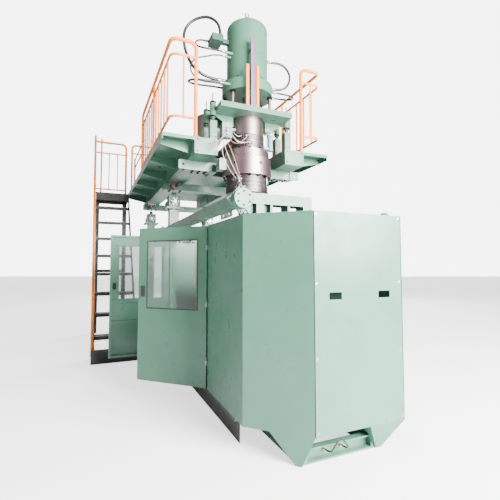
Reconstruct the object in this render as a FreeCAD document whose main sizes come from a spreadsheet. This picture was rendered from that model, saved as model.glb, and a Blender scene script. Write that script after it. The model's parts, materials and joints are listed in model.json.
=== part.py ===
import FreeCAD, Part
import math
import os
import re

import Sketcher
from FreeCAD import Placement, Rotation, Vector

# Accumulator-head blow moulding machine. X runs across the end covers, Y runs along the clamp from its
# front end to its rear end, Z is up. The origin is on the floor, under the axis of the die head.
# All sizes are in millimetres.

SIZES = {
    # clamp covers
    "cover_left": 740,
    "cover_right": 800,
    "cover_half": 2030,
    "cover_bottom": 200,
    "cover_top": 1734,
    "corner_cut": 370,
    "gauge": 3,
    "flange": 40,
    "panel_gap": 8,
    "hand_hole_width": 108,
    "hand_hole_height": 50,
    "hand_hole_z": 1140,
    "hand_hole_offset": 220,
    # doors
    "door_half": 790,
    "door_width": 780,
    "door_depth": 30,
    "door_gap": 6,
    "window_margin": 110,
    "window_low": 930,
    "window_high": 1590,
    "pane_gauge": 4,
    "front_door_swing": 46,
    "rear_door_swing": 90,
    "knuckle_radius": 12,
    "pin_radius": 6,
    "pin_clearance": 0.05,
    "knuckle_height": 40,
    # bed and clamp
    "bed_rail_x": 390,
    "bed_beam": 120,
    "bed_half": 1600,
    "bed_top": 330,
    "sole_height": 120,
    "anchor_x": 225,
    "anchor_y": 1430,
    "anchor_radius": 11,
    "sill_set_back": 80,
    "sill_left": -450,
    "sill_right": 240,
    "sill_height": 100,
    "kick_y": 1490,
    "rail_width": 36,
    "rail_height": 40,
    "slide_clearance": 0.3,
    "frame_thick": 120,
    "frame_left": 600,
    "frame_right": 438,
    "frame_top": 1690,
    "top_rail_low": 1830,
    "top_rail_high": 1912,
    "top_rail_end": -100,
    "tie_size": 92,
    "tie_gap": 6,
    "tie_upper_z": 1850,
    "tie_lower_z": 400,
    "tie_flange": 158,
    "tie_flange_thick": 25,
    "tie_cap_radius": 78,
    "tie_cap_height": 60,
    "platen_half": 430,
    "platen_low": 420,
    "platen_high": 1350,
    "platen_thick": 100,
    "platen_face": 420,
    "platen_hole_radius": 8.5,
    "platen_hole_pitch_x": 150,
    "platen_hole_pitch_z": 200,
    "coil_offset": 70,
    "coil_y": 460,
    "coil_rod_radius": 8,
    "coil_post_low": 950,
    "coil_arm_low": 1080,
    "coil_arm_high": 1640,
    "coil_plate": 16,
    "clamp_axis_z": 880,
    "clamp_rod_radius": 45,
    "clamp_bore": 70,
    "clamp_barrel_radius": 90,
    "clamp_barrel_length": 385,
    "fit_clearance": 0.05,
    "blow_pin_radius": 30,
    "blow_base_top": 560,
    # lifting jacks
    "jack_gap": 18,
    "jack_front_y": 1390,
    "jack_rear_y": 3620,
    "jack_post": 140,
    "jack_post_top": 2210,
    "jack_screw_radius": 15,
    "gearbox_size": 170,
    "gearbox_height": 190,
    # platform
    "deck_top": 2805,
    "girder_height": 188,
    "girder_inner": 445,
    "girder_outer": 715,
    "platform_front": -180,
    "platform_rear": 4000,
    "deck_front": 520,
    "deck_edge": 1080,
    "deck_gauge": 6,
    "edge_depth": 75,
    "beam_height": 110,
    "guard_x": 985,
    "guard_height": 1105,
    "tube_radius": 21,
    "baluster_radius": 11,
    "baluster_pitch": 200,
    "post_pitch": 1300,
    "gate_front": 2250,
    "mid_rail": 930,
    "bottom_rail": 215,
    # stair
    "stair_outer": -1690,
    "stair_inner": -1088,
    "stair_foot_y": 1500,
    "riser": 305.6,
    "going": 211,
    "tread_thick": 30,
    "tread_depth": 220,
    "stringer_gauge": 12,
    "landing_top": 2750,
    "landing_front": 3400,
    "landing_rear": 3900,
    "landing_guard": 1120,
    # die head and injection cylinder
    "bridge_half_x": 459,
    "bridge_half_y": 340,
    "bridge_low": 3145,
    "bridge_thick": 62,
    "column_x": 490,
    "column_y": 130,
    "head_upper_radius": 207,
    "ring_radius": 270,
    "big_ring_radius": 300,
    "band_radius": 306,
    "lower_radius": 255,
    "die_radius": 150,
    "head_bore": 150,
    "head_neck": 200,
    "die_bore": 80,
    "ram_stroke": 250,
    "tie_circle": 285,
    "mandrel_rod": 40,
    "lower_bottom": 2221,
    "band_low": 2423,
    "big_ring_low": 2474,
    "ring_low": 2644,
    "upper_low": 2738,
    "cylinder_radius": 256,
    "cylinder_bore": 220,
    "cylinder_flange": 316,
    "flange_low": 3448,
    "flange_top": 3580,
    "column_rod": 20,
    "column_boss": 38,
    "column_boss_low": 44,
    "column_boss_high": 37,
    "column_nut": 34,
    "column_nut_low": 28,
    "column_nut_high": 24,
    "column_thread": 28,
    "column_foot_half": 40,
    "column_foot_height": 225,
    "stud_radius": 8,
    "stud_height": 103,
    "tie_rod": 20,
    "eye_radius": 26,
    "eye_bar": 8,
    "eye_shank": 16,
    "eye_foot": 22,
    "shoulder_z": 4300,
    "dome_z": 4417,
    "eye_z": 4538,
    "ram_rod": 60,
    "scale_bar_top": 4030,
    # extruder
    "screw_z": 2985,
    "screw_radius": 37.5,
    "barrel_radius": 75,
    "barrel_end": 1750,
    "hopper_radius": 230,
    "hopper_y": 1500,
    "hopper_top": 3740,
}

# Places that follow from the sizes and their clearances.
SILL_Y = "(cover_half - sill_set_back)"
JACK_X = "(frame_right + tie_size + jack_gap + jack_post / 2)"
TIE_UPPER_X = f"(-({JACK_X} + jack_post / 2 + tie_gap + tie_size / 2))"

doc = FreeCAD.newDocument("blow_moulding_machine")
sheet = doc.addObject("Spreadsheet::Sheet", "Sizes")
for row, (alias, number) in enumerate(SIZES.items(), start=1):
    sheet.set(f"A{row}", alias)
    sheet.set(f"B{row}", str(number))
    sheet.setAlias(f"B{row}", alias)
doc.recompute()

SUBPARTS = []


def bound(text):
    """An expression on the sheet, from words that are the sheet's aliases."""
    return re.sub(r"[a-z_]+", lambda word: f"Sizes.{word[0]}" if word[0] in SIZES else word[0], str(text))


def value(text):
    """The number that an expression gives now, read back from a spare cell of the sheet."""
    sheet.set("D1", f"={text}")
    sheet.recompute()
    result = sheet.get("D1")
    return float(getattr(result, "Value", result))


def keep(label, item):
    """Names a sub-part, which is written to a file of that name."""
    item.Label = label
    SUBPARTS.append(item)
    return item


def place(item, x=0, y=0, z=0):
    for axis, text in zip("xyz", (x, y, z)):
        item.setExpression(f"Placement.Base.{axis}", bound(text))
    return item


def block(x, y, z):
    """A box from pairs of expressions: low and high along each axis."""
    box = doc.addObject("Part::Box", "block")
    for side, (low, high) in zip(("Length", "Width", "Height"), (x, y, z)):
        box.setExpression(side, bound(f"({high}) - ({low})"))
    return place(box, x[0], y[0], z[0])


TURNS = {
    "x": Rotation(Vector(0, 1, 0), 90),
    "y": Rotation(Vector(1, 0, 0), -90),
    "z": Rotation(),
}


def rod(axis, centre, radius, span):
    """A cylinder along an axis. centre gives the other two coordinates in X, Y, Z order."""
    cylinder = doc.addObject("Part::Cylinder", "rod")
    cylinder.Placement = Placement(Vector(), TURNS[axis])
    cylinder.setExpression("Radius", bound(radius))
    cylinder.setExpression("Height", bound(f"({span[1]}) - ({span[0]})"))
    spot = list(centre)
    spot.insert("xyz".index(axis), span[0])
    return place(cylinder, *spot)


def fuse(*parts):
    joined = doc.addObject("Part::MultiFuse", "joined")
    joined.Shapes = list(parts)
    return joined


def group(*parts):
    """Like pieces that share one node, each a solid of its own."""
    bundle = doc.addObject("Part::Compound", "pieces")
    bundle.Links = list(parts)
    return bundle


def cut(base, *tools):
    removed = doc.addObject("Part::Cut", "cut")
    removed.Base = base
    removed.Tool = tools[0] if len(tools) == 1 else group(*tools)
    return removed


def mirrored(item, normal):
    """A mirror image across the plane through the origin."""
    image = doc.addObject("Part::Mirroring", "mirrored")
    image.Source = item
    image.Base = Vector()
    image.Normal = normal
    return image


ALONG = Vector(0, 1, 0)


def pin_to_origin(sketch, name, kind, axis, geometry, point, text):
    """Fixes one coordinate of a sketch point to an expression."""
    if str(text) == "0":
        sketch.addConstraint(Sketcher.Constraint("PointOnObject", geometry, point, axis))
        return
    index = sketch.addConstraint(Sketcher.Constraint(kind, -1, 1, geometry, point, value(text)))
    sketch.renameConstraint(index, name)
    sketch.setExpression(f"Constraints.{name}", bound(text))


def sketch_on(body, role, outlines, circles=(), offset="0"):
    """A fully bound sketch of closed outlines and circles on a body's own origin plane."""
    sketch = body.newObject("Sketcher::SketchObject", "outline")
    plane = next(item for item in body.Origin.OriginFeatures if item.Role == role)
    sketch.AttachmentSupport = [(plane, "")]
    sketch.MapMode = "FlatFace"
    sketch.setExpression("AttachmentOffset.Base.z", bound(offset))
    for outline in outlines:
        corners = [Vector(value(u), value(v), 0) for u, v in outline]
        first = sketch.GeometryCount
        for start, end in zip(corners, corners[1:] + corners[:1]):
            sketch.addGeometry(Part.LineSegment(start, end), False)
        for i, (u, v) in enumerate(outline):
            line, following = first + i, first + (i + 1) % len(outline)
            sketch.addConstraint(Sketcher.Constraint("Coincident", line, 2, following, 1))
            pin_to_origin(sketch, f"u{line}", "DistanceX", -2, line, 1, u)
            pin_to_origin(sketch, f"v{line}", "DistanceY", -1, line, 1, v)
    for u, v, radius in circles:
        centre = Vector(value(u), value(v), 0)
        ring = sketch.addGeometry(Part.Circle(centre, Vector(0, 0, 1), value(radius)), False)
        pin_to_origin(sketch, f"u{ring}", "DistanceX", -2, ring, 3, u)
        pin_to_origin(sketch, f"v{ring}", "DistanceY", -1, ring, 3, v)
        index = sketch.addConstraint(Sketcher.Constraint("Radius", ring, value(radius)))
        sketch.renameConstraint(index, f"r{ring}")
        sketch.setExpression(f"Constraints.r{ring}", bound(radius))
    return sketch


def plate(plane, outlines, low, high, circles=()):
    """A plate between two coordinates along its plane's axis: plane is XY, XZ or YZ."""
    body = doc.addObject("PartDesign::Body", "plate")
    offset = f"-({high})" if plane == "XZ" else low
    sketch = sketch_on(body, f"{plane}_Plane", outlines, circles, offset)
    pad = body.newObject("PartDesign::Pad", "pad")
    pad.Profile = sketch
    pad.setExpression("Length", bound(f"({high}) - ({low})"))
    return body


def turned(profile):
    """A solid of revolution about Z from a closed outline of radius and height."""
    body = doc.addObject("PartDesign::Body", "turned")
    sketch = sketch_on(body, "XZ_Plane", [profile])
    revolution = body.newObject("PartDesign::Revolution", "revolution")
    revolution.Profile = sketch
    revolution.ReferenceAxis = (sketch, ["V_Axis"])
    revolution.Angle = 360
    return body


def path(points, radii):
    """Straight runs joined by tangent arcs, one radius for each inner point."""
    edges = []
    start = points[0]
    for before, corner, after, radius in zip(points, points[1:], points[2:], radii):
        back = (before - corner).normalize()
        ahead = (after - corner).normalize()
        half_turn = (math.pi - back.getAngle(ahead)) / 2
        reach = radius * math.tan(half_turn)
        first = corner + back * reach
        last = corner + ahead * reach
        middle = (back + ahead).normalize()
        centre_distance = radius / math.cos(half_turn)
        crown = corner + middle * (centre_distance - radius)
        edges.append(Part.LineSegment(start, first).toShape())
        edges.append(Part.Arc(first, crown, last).toShape())
        start = last
    edges.append(Part.LineSegment(start, points[-1]).toShape())
    return Part.Wire(edges)


def tube(points, radius, radii):
    """A round solid swept along a path."""
    wire = path(points, radii)
    circle = Part.Circle(points[0], points[1] - points[0], radius).toShape()
    return wire.makePipeShell([Part.Wire([circle])], True, False), wire.Length


def stick(start, end, radius):
    """A straight round bar between two points."""
    return Part.makeCylinder(radius, (end - start).Length, start, end - start)


def shaped(label, shape, placement=Placement()):
    """A sub-part whose shape no primitive or sketch gives."""
    item = doc.addObject("Part::Feature", "shaped")
    item.Shape = shape
    item.Placement = placement
    return keep(label, item)


# ---- bed, covers and clamp frame ----------------------------------------------------------------------


def corner_foot(x, y, yaw, top_low, top_high, set_back):
    """An inverted corner foot that widens from the floor to the covers."""
    foot = doc.addObject("Part::Wedge", "foot")
    limits = {
        "Xmin": "-22",
        "Xmax": "22",
        "Zmin": set_back,
        "Zmax": f"{set_back} + 40",
        "Ymin": "0",
        "Ymax": "cover_bottom",
        "X2min": f"-({top_high})",
        "X2max": f"-({top_low})",
        "Z2min": "0",
        "Z2max": "150",
    }
    foot.Placement = Placement(Vector(), Rotation(Vector(0, 0, 1), 180 + yaw) * Rotation(Vector(1, 0, 0), 90))
    for name, text in limits.items():
        foot.setExpression(name, bound(text))
    return place(foot, x, y, "0")


def bed_end():
    """The low frame under the front covers: two stubs, a channel sill and the corner feet."""
    inside = "-anchor_y - 60"
    stubs = [
        block(("sill_left", "sill_left + 70"), (f"-{SILL_Y}", inside), ("0", "sill_height")),
        block(("sill_right - 70", "sill_right"), (f"-{SILL_Y}", inside), ("0", "sill_height")),
    ]
    sill = cut(
        block(("sill_left", "sill_right"), (f"-{SILL_Y}", f"-{SILL_Y} + 60"), ("0", "sill_height")),
        block(
            ("sill_left + 40", "sill_right - 40"),
            (f"-{SILL_Y} - 1", f"-{SILL_Y} + 48"),
            ("14", "sill_height - 10"),
        ),
    )
    chamfer_y = "-(cover_left + cover_half - corner_cut) - sill_left"
    feet = [
        corner_foot("sill_left", chamfer_y, -45, "-210", "113", "0"),
        corner_foot("sill_right - 10", "-cover_half", 0, "-130", "204", "70"),
    ]
    return fuse(*stubs, sill, *feet)


def bed_frame():
    half = "bed_rail_x + bed_beam / 2"
    members = []
    for side in (-1, 1):
        x = (f"{side} * bed_rail_x - bed_beam / 2", f"{side} * bed_rail_x + bed_beam / 2")
        members.append(block(x, ("-bed_half", "bed_half"), ("sole_height", "bed_top")))
    for middle in ("-anchor_y", "0", "anchor_y"):
        y = (f"{middle} - 70", f"{middle} + 70")
        members.append(block((f"-({half})", half), y, ("0", "sole_height")))
    front = bed_end()
    frame = fuse(*members, front, mirrored(front, ALONG))
    anchors = [
        rod("z", (f"{sx} * anchor_x", f"{sy} * anchor_y"), "anchor_radius", ("-1", "sole_height + 1"))
        for sx in (-1, 1)
        for sy in (-1, 1)
    ]
    return keep("bed_frame", cut(frame, *anchors))


def side_sill(side, wall):
    """Dark skirting along one side of the bed, folded out under the covers, with arms to the bed beam."""
    def span(near, far):
        return (near, far) if side > 0 else (f"-({far})", f"-({near})")

    end = "jack_front_y - jack_post / 2 - 35"
    bed_edge = "bed_rail_x + bed_beam / 2"
    skirt = block(span(f"{wall} - 50", f"{wall} - 47"), ("-kick_y", end), ("0", "cover_bottom"))
    ledge = block(
        span(f"{wall} - 50", f"{wall} - gauge"),
        ("-kick_y", end),
        ("cover_bottom - 30", "cover_bottom"),
    )
    arms = [
        block(
            span(bed_edge, f"{wall} - 50"),
            (f"{y} - 30", f"{y} + 30"),
            ("sole_height + 30", "cover_bottom - 30"),
        )
        for y in ("-1300", "0", "1200")
    ]
    return fuse(skirt, ledge, *arms)


def kick_strips():
    return keep("kick_strips", group(side_sill(-1, "cover_left"), side_sill(1, "cover_right")))


def corner_cover(side, wall):
    """One folded sheet in plan: side wall, cut corner and a return flange beside the doorway."""
    slope = "gauge * tan(22.5 deg)"
    across = "gauge * cos(45 deg)"
    edge = "-(door_half + door_gap)"
    x = f"{side} * {wall}"
    outline = [
        (x, edge),
        (x, "-(cover_half - corner_cut)"),
        (f"{x} - ({side}) * corner_cut", "-cover_half"),
        (f"{x} - ({side}) * (corner_cut + {across})", f"-cover_half + {across}"),
        (f"{x} - ({side}) * gauge", f"-(cover_half - corner_cut) + {slope}"),
        (f"{x} - ({side}) * gauge", f"{edge} - gauge"),
        (f"{x} - ({side}) * flange", f"{edge} - gauge"),
        (f"{x} - ({side}) * flange", edge),
    ]
    return plate("XY", [outline], "cover_bottom", "cover_top")


def corner_covers():
    front = [corner_cover(-1, "cover_left"), corner_cover(1, "cover_right")]
    return keep("corner_covers", group(*front, *[mirrored(cover, ALONG) for cover in front]))


def end_panels():
    """A removable tray over each end, with two hand holes."""
    low = "-(cover_left - corner_cut) + panel_gap"
    high = "cover_right - corner_cut - panel_gap"
    outline = [
        (low, "-cover_half"),
        (high, "-cover_half"),
        (high, "-cover_half + flange"),
        (f"{high} - gauge", "-cover_half + flange"),
        (f"{high} - gauge", "-cover_half + gauge"),
        (f"{low} + gauge", "-cover_half + gauge"),
        (f"{low} + gauge", "-cover_half + flange"),
        (low, "-cover_half + flange"),
    ]
    tray = plate("XY", [outline], "cover_bottom", "cover_top")
    holes = []
    for side in (-1, 1):
        middle = f"(cover_right - cover_left) / 2 + {side} * hand_hole_offset"
        x = (f"{middle} - hand_hole_width / 2", f"{middle} + hand_hole_width / 2")
        z = ("hand_hole_z - hand_hole_height / 2", "hand_hole_z + hand_hole_height / 2")
        holes.append(block(x, ("-cover_half - 1", "-cover_half + gauge + 1"), z))
    lid_seat = ("cover_top - 2 * gauge - 1", "cover_top + 1")
    notch = block((low, high), ("-cover_half + gauge", "-cover_half + flange + 1"), lid_seat)
    front = cut(tray, *holes, notch)
    return keep("end_panels", group(front, mirrored(front, ALONG)))


def side_panel_right():
    """The fixed tray that closes the far side of the mould space."""
    end = "door_half"
    outline = [
        ("cover_right", f"-{end}"),
        ("cover_right", end),
        ("cover_right - flange", end),
        ("cover_right - flange", f"{end} - gauge"),
        ("cover_right - gauge", f"{end} - gauge"),
        ("cover_right - gauge", f"-{end} + gauge"),
        ("cover_right - flange", f"-{end} + gauge"),
        ("cover_right - flange", f"-{end}"),
    ]
    return keep("side_panel_right", plate("XY", [outline], "cover_bottom", "cover_top"))


def top_covers():
    """A flat lid inside the top edge of each end's covers."""
    inset = "(gauge + slide_clearance)"
    slope = f"{inset} * tan(22.5 deg)"
    left, right = f"-(cover_left - {inset})", f"cover_right - {inset}"
    outline = [
        (left, "-(bed_half + 4)"),
        (left, f"-(cover_half - corner_cut) + {slope}"),
        (f"-(cover_left - corner_cut) + {slope}", f"-(cover_half - {inset})"),
        (f"cover_right - corner_cut - {slope}", f"-(cover_half - {inset})"),
        (right, f"-(cover_half - corner_cut) + {slope}"),
        (right, "-(bed_half + 4)"),
    ]
    front = plate("XY", [outline], "cover_top - 2 * gauge", "cover_top - gauge")
    return keep("top_covers", group(front, mirrored(front, ALONG)))


def end_frame(label, end):
    """The upright that one clamp cylinder pushes against, with the rail that reaches the upper tie bar."""
    outer, inner = "-bed_half", "-bed_half + frame_thick"
    outline = [
        ("-frame_left", "bed_top"),
        ("frame_right", "bed_top"),
        ("frame_right", "frame_top - 450"),
        ("120", "frame_top"),
        ("-frame_left", "frame_top"),
    ]
    upright = plate("XZ", [outline], outer, inner, [("0", "clamp_axis_z", "clamp_rod_radius + 15")])
    tie_side = f"{TIE_UPPER_X} + tie_size / 2"
    rail = block((tie_side, "top_rail_end"), (outer, inner), ("top_rail_low", "top_rail_high"))
    legs = [
        block((low, high), (outer, inner), ("frame_top", "top_rail_low"))
        for low, high in (
            ("-frame_left", "-frame_left + 60"),
            ("-479", "-461"),
            ("-325", "-307"),
            ("top_rail_end - 80", "top_rail_end"),
        )
    ]
    gusset = [
        ("-frame_left", "frame_top"),
        ("-frame_left + 60", "frame_top"),
        ("-430", "top_rail_low"),
        (f"{tie_side} + 4", "top_rail_low"),
    ]
    web = plate("XZ", [gusset], f"{outer} + 50", f"{outer} + 70")
    frame = fuse(upright, rail, *legs, web)
    return keep(label, frame if end < 0 else mirrored(frame, ALONG))


def tie_places():
    """Centres of the two tie bars, which stand diagonally across the clamp."""
    return ((TIE_UPPER_X, "tie_upper_z"), ("frame_right + tie_size / 2", "tie_lower_z"))


def tie_bars():
    bars = [
        block(
            (f"{x} - tie_size / 2", f"{x} + tie_size / 2"),
            ("-bed_half", "bed_half"),
            (f"{z} - tie_size / 2", f"{z} + tie_size / 2"),
        )
        for x, z in tie_places()
    ]
    return keep("tie_bars", group(*bars))


def tie_end_fittings():
    """Square flanges stood on one corner at the tie bar ends, each with a round, grooved nut cover."""
    fittings = []
    radius, height = "tie_cap_radius", "tie_cap_height"
    profile = [
        ("0", "0"),
        (radius, "0"),
        (radius, f"{height} - 18"),
        (f"{radius} - 6", f"{height} - 18"),
        (f"{radius} - 6", f"{height} - 12"),
        (radius, f"{height} - 12"),
        (radius, f"{height} - 4"),
        (f"{radius} - 4", height),
        ("0", height),
    ]
    half = "tie_flange / sqrt(2)"
    for x, z in tie_places():
        outline = [(f"{x} - {half}", z), (x, f"{z} - {half}"), (f"{x} + {half}", z), (x, f"{z} + {half}")]
        flange = plate("XZ", [outline], "-bed_half - tie_flange_thick", "-bed_half")
        cap = turned(profile)
        cap.Placement = Placement(Vector(), Rotation(Vector(1, 0, 0), 90))
        place(cap, x, "-bed_half - tie_flange_thick", z)
        front = fuse(flange, cap)
        fittings += [front, mirrored(front, ALONG)]
    return keep("tie_end_fittings", group(*fittings))


def guide_rails():
    rails = [
        block(
            (f"{side} * bed_rail_x - rail_width / 2", f"{side} * bed_rail_x + rail_width / 2"),
            ("-bed_half + frame_thick + 5", "bed_half - frame_thick - 5"),
            ("bed_top", "bed_top + rail_height"),
        )
        for side in (-1, 1)
    ]
    return keep("guide_rails", group(*rails))


def clamp_cylinders():
    """The two hydraulic barrels, flanged to the outer faces of the end frames."""
    gland = "clamp_rod_radius + fit_clearance"
    length = "clamp_barrel_length"
    profile = [
        (gland, "0"),
        ("clamp_barrel_radius + 30", "0"),
        ("clamp_barrel_radius + 30", "30"),
        ("clamp_barrel_radius", "30"),
        ("clamp_barrel_radius", length),
        ("0", length),
        ("0", f"{length} - 20"),
        ("clamp_bore", f"{length} - 20"),
        ("clamp_bore", "60"),
        (gland, "60"),
    ]
    front = turned(profile)
    front.Placement = Placement(Vector(), Rotation(Vector(1, 0, 0), 90))
    place(front, "0", "-bed_half", "clamp_axis_z")
    return keep("clamp_cylinders", group(front, mirrored(front, ALONG)))


def clamp_rod(label, end):
    """Piston and rod in one, from inside the barrel to the back of the platen."""
    piston = "clamp_bore - fit_clearance"
    rear = "clamp_barrel_length - 30"
    profile = [
        ("0", "-(bed_half - platen_face - platen_thick)"),
        ("clamp_rod_radius", "-(bed_half - platen_face - platen_thick)"),
        ("clamp_rod_radius", f"{rear} - 60"),
        (piston, f"{rear} - 60"),
        (piston, rear),
        ("0", rear),
    ]
    front = turned(profile)
    front.Placement = Placement(Vector(), Rotation(Vector(1, 0, 0), 90))
    place(front, "0", "-bed_half", "clamp_axis_z")
    return keep(label, front if end < 0 else mirrored(front, ALONG))


def platen(label, end):
    """A ribbed platen with a grid of mould bolt holes, on four shoes that straddle the guide rails."""
    face, back = "-platen_face", "-(platen_face + platen_thick)"
    outline = [
        ("-platen_half", "platen_low"),
        ("platen_half", "platen_low"),
        ("platen_half", "platen_high"),
        ("-platen_half", "platen_high"),
    ]
    grid = [
        (
            f"{i} * platen_hole_pitch_x",
            f"(platen_low + platen_high) / 2 + {k} * platen_hole_pitch_z",
            "platen_hole_radius",
        )
        for i in (-1.5, -0.5, 0.5, 1.5)
        for k in (-1.5, -0.5, 0.5, 1.5)
    ]
    slab = plate("XZ", [outline], back, face, grid)
    ribs = [
        block((f"{x} - 15", f"{x} + 15"), (f"{back} - 90", back), ("platen_low", "platen_high"))
        for x in ("-platen_half + 15", "-190", "190", "platen_half - 15")
    ]
    shoes = []
    gap = "(rail_width / 2 + slide_clearance)"
    for side in (-1, 1):
        middle = f"{side} * bed_rail_x"
        body = block(
            (f"{middle} - 50", f"{middle} + 40"),
            (f"{back} - 90", face),
            ("bed_top + 10", "platen_low"),
        )
        slot = block(
            (f"{middle} - {gap}", f"{middle} + {gap}"),
            (f"{back} - 91", f"{face} + 1"),
            ("bed_top + 9", "bed_top + rail_height + slide_clearance"),
        )
        shoes.append(cut(body, slot))
    front = fuse(slab, *ribs, *shoes)
    return keep(label, front if end < 0 else fuse(mirrored(front, ALONG), *coil_bracket()))


def coil_bracket():
    """A post on the door side of the rear platen with two arms and a rod for the curly air hose."""
    side, middle = "-platen_half", "-platen_half - coil_offset"
    post = block(
        (f"{side} - coil_plate", side),
        ("coil_y - 30", "coil_y + 30"),
        ("coil_post_low", "coil_arm_high + 36"),
    )
    arms = [
        block(
            (f"{middle} - 55", f"{side} - coil_plate"),
            ("coil_y - 22", "coil_y + 22"),
            (low, f"{low} + coil_plate"),
        )
        for low in ("coil_arm_low", "coil_arm_high")
    ]
    return post, *arms, rod("z", (middle, "coil_y"), "coil_rod_radius", ("coil_arm_low", "coil_arm_high"))


def blow_unit_base():
    """The column on the bed that guides the blow pin up between the mould halves."""
    column = block(("-110", "110"), ("-100", "100"), ("sole_height", "blow_base_top"))
    bore = rod("z", ("0", "0"), "blow_pin_radius + fit_clearance", ("sole_height + 60", "blow_base_top + 1"))
    return keep("blow_unit_base", cut(column, bore))


def blow_pin():
    """The pin that seals the neck and lets the air in: a rod with a stepped, tapered tip."""
    profile = [
        ("0", "240"),
        ("blow_pin_radius", "240"),
        ("blow_pin_radius", "640"),
        ("blow_pin_radius + 20", "640"),
        ("blow_pin_radius + 20", "665"),
        ("18", "665"),
        ("18", "760"),
        ("9", "790"),
        ("0", "790"),
    ]
    return keep("blow_pin", turned(profile))


# ---- doors --------------------------------------------------------------------------------------------


HINGE_HEIGHTS = ("420", "960", "1500")


def door_frame():
    """Posts beside the doorway and a header across it, inside the covers."""
    edge = "door_half + door_gap + gauge"
    x = ("-cover_left + gauge", "-cover_left + gauge + 42")
    z = ("cover_bottom", "cover_top - 2 * gauge")
    posts = [
        block(x, (f"-({edge} + 42)", f"-({edge})"), z),
        block(x, (edge, f"{edge} + 42"), z),
    ]
    inner = ("-cover_left + flange", "-cover_left + flange + 40")
    header = block(inner, (f"-({edge} + 42)", f"{edge} + 42"), ("cover_top - 60", "cover_top - 2 * gauge"))
    return keep("door_frame", fuse(*posts, header))


def door_placement(item, end):
    """Puts a part made beside its hinge axis into the doorway, swung open."""
    angle = "front_door_swing" if end < 0 else "-rear_door_swing"
    item.Placement = Placement(Vector(), Rotation(Vector(0, 0, 1), value(angle)))
    return place(item, "-(cover_left + knuckle_radius)", f"{end} * door_half", "0")


def door(label, end):
    """A tray door with a window opening, welded to the moving knuckles of its hinges."""
    def along(text):
        return f"{-end} * ({text})"

    def span(low, high):
        return (along(low), along(high)) if end < 0 else (along(high), along(low))

    low, high = "cover_bottom + 4", "cover_top - 4"
    skin = "knuckle_radius"
    shell = block((skin, f"{skin} + door_depth"), span("door_gap", "door_width"), (low, high))
    hollow = block(
        (f"{skin} + gauge", f"{skin} + door_depth + 1"),
        span("door_gap + 28", "door_width - 28"),
        (f"{low} + 28", f"{high} - 28"),
    )
    opening = block(
        ("0", f"{skin} + door_depth + 1"),
        span("window_margin", "door_width - window_margin"),
        ("window_low", "window_high"),
    )
    knuckles, bores = [], []
    for height in HINGE_HEIGHTS:
        z = (f"{height} + knuckle_height + slide_clearance", f"{height} + 2 * knuckle_height")
        knuckles.append(rod("z", ("0", "0"), "knuckle_radius", z))
        knuckles.append(block((f"{skin} - gauge", skin), span("0", "60"), z))
        bores.append(rod("z", ("0", "0"), "pin_radius + pin_clearance", (f"{height}", f"{height} + 100")))
    leaf = cut(fuse(cut(shell, hollow, opening), *knuckles), *bores)
    return keep(label, door_placement(leaf, end))


def door_window(label, end):
    """The clear pane behind a door's window opening."""
    low, high = f"{-end} * (window_margin - 15)", f"{-end} * (door_width - window_margin + 15)"
    pane = block(
        ("knuckle_radius + gauge", "knuckle_radius + gauge + pane_gauge"),
        (low, high) if end < 0 else (high, low),
        ("window_low - 15", "window_high + 15"),
    )
    holder = group(pane)
    return keep(label, door_placement(holder, end))


def hinge_pins():
    """Fixed leaves, knuckles and pins of the door hinges, screwed to the corner covers."""
    fixed = []
    x = "-(cover_left + knuckle_radius)"
    for end in (-1, 1):
        y = f"{end} * door_half"
        leaf_y = (f"{y} - 60", y) if end < 0 else (y, f"{y} + 60")
        for height in HINGE_HEIGHTS:
            low = (height, f"{height} + knuckle_height")
            knuckle = rod("z", (x, y), "knuckle_radius", low)
            pin = rod("z", (x, y), "pin_radius", (height, f"{height} + 2 * knuckle_height + 5"))
            leaf = block(("-(cover_left + gauge)", "-cover_left"), leaf_y, low)
            fixed.append(fuse(knuckle, pin, leaf))
    return keep("hinge_pins", group(*fixed))


# ---- lifting jacks ------------------------------------------------------------------------------------


def jack_places():
    return [(f"{side} * {JACK_X}", y) for side in (-1, 1) for y in ("jack_front_y", "jack_rear_y")]


def jack_posts():
    """Hollow square posts that stand on the floor, with a flange at the top."""
    posts = []
    half = "jack_post / 2"
    for x, y in jack_places():
        def square(reach):
            return (f"{x} - {reach}", f"{x} + {reach}"), (f"{y} - {reach}", f"{y} + {reach}")

        shaft = block(*square(half), ("0", "jack_post_top"))
        flange = block(*square(f"({half} + 65)"), ("jack_post_top - 20", "jack_post_top"))
        foot = block(*square(f"({half} + 8)"), ("0", "20"))
        hollow = block(*square(f"({half} - 8)"), ("20", "jack_post_top - 20"))
        well = rod("z", (x, y), "jack_screw_radius + 10", ("jack_post_top - 21", "jack_post_top + 1"))
        posts.append(cut(fuse(shaft, flange, foot), hollow, well))
    return keep("jack_posts", group(*posts))


def jack_gearboxes():
    """Worm gearboxes with a round cover on the front and a geared motor behind."""
    boxes = []
    half = "gearbox_size / 2"
    low, high = "jack_post_top", "(jack_post_top + gearbox_height)"
    middle = "jack_post_top + gearbox_height / 2"
    for x, y in jack_places():
        case = block((f"{x} - {half}", f"{x} + {half}"), (f"{y} - {half}", f"{y} + {half}"), (low, high))
        cover = rod("y", (x, middle), "62", (f"{y} - {half} - 28", f"{y} - {half}"))
        neck = rod("z", (x, y), "38", (high, f"{high} + 40"))
        motor = rod("y", (x, middle), "68", (f"{y} + {half}", f"{y} + {half} + 230"))
        bore = rod("z", (x, y), "jack_screw_radius + fit_clearance", (f"{low} - 1", f"{high} + 41"))
        boxes.append(cut(fuse(case, cover, neck, motor), bore))
    return keep("jack_gearboxes", group(*boxes))


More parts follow.
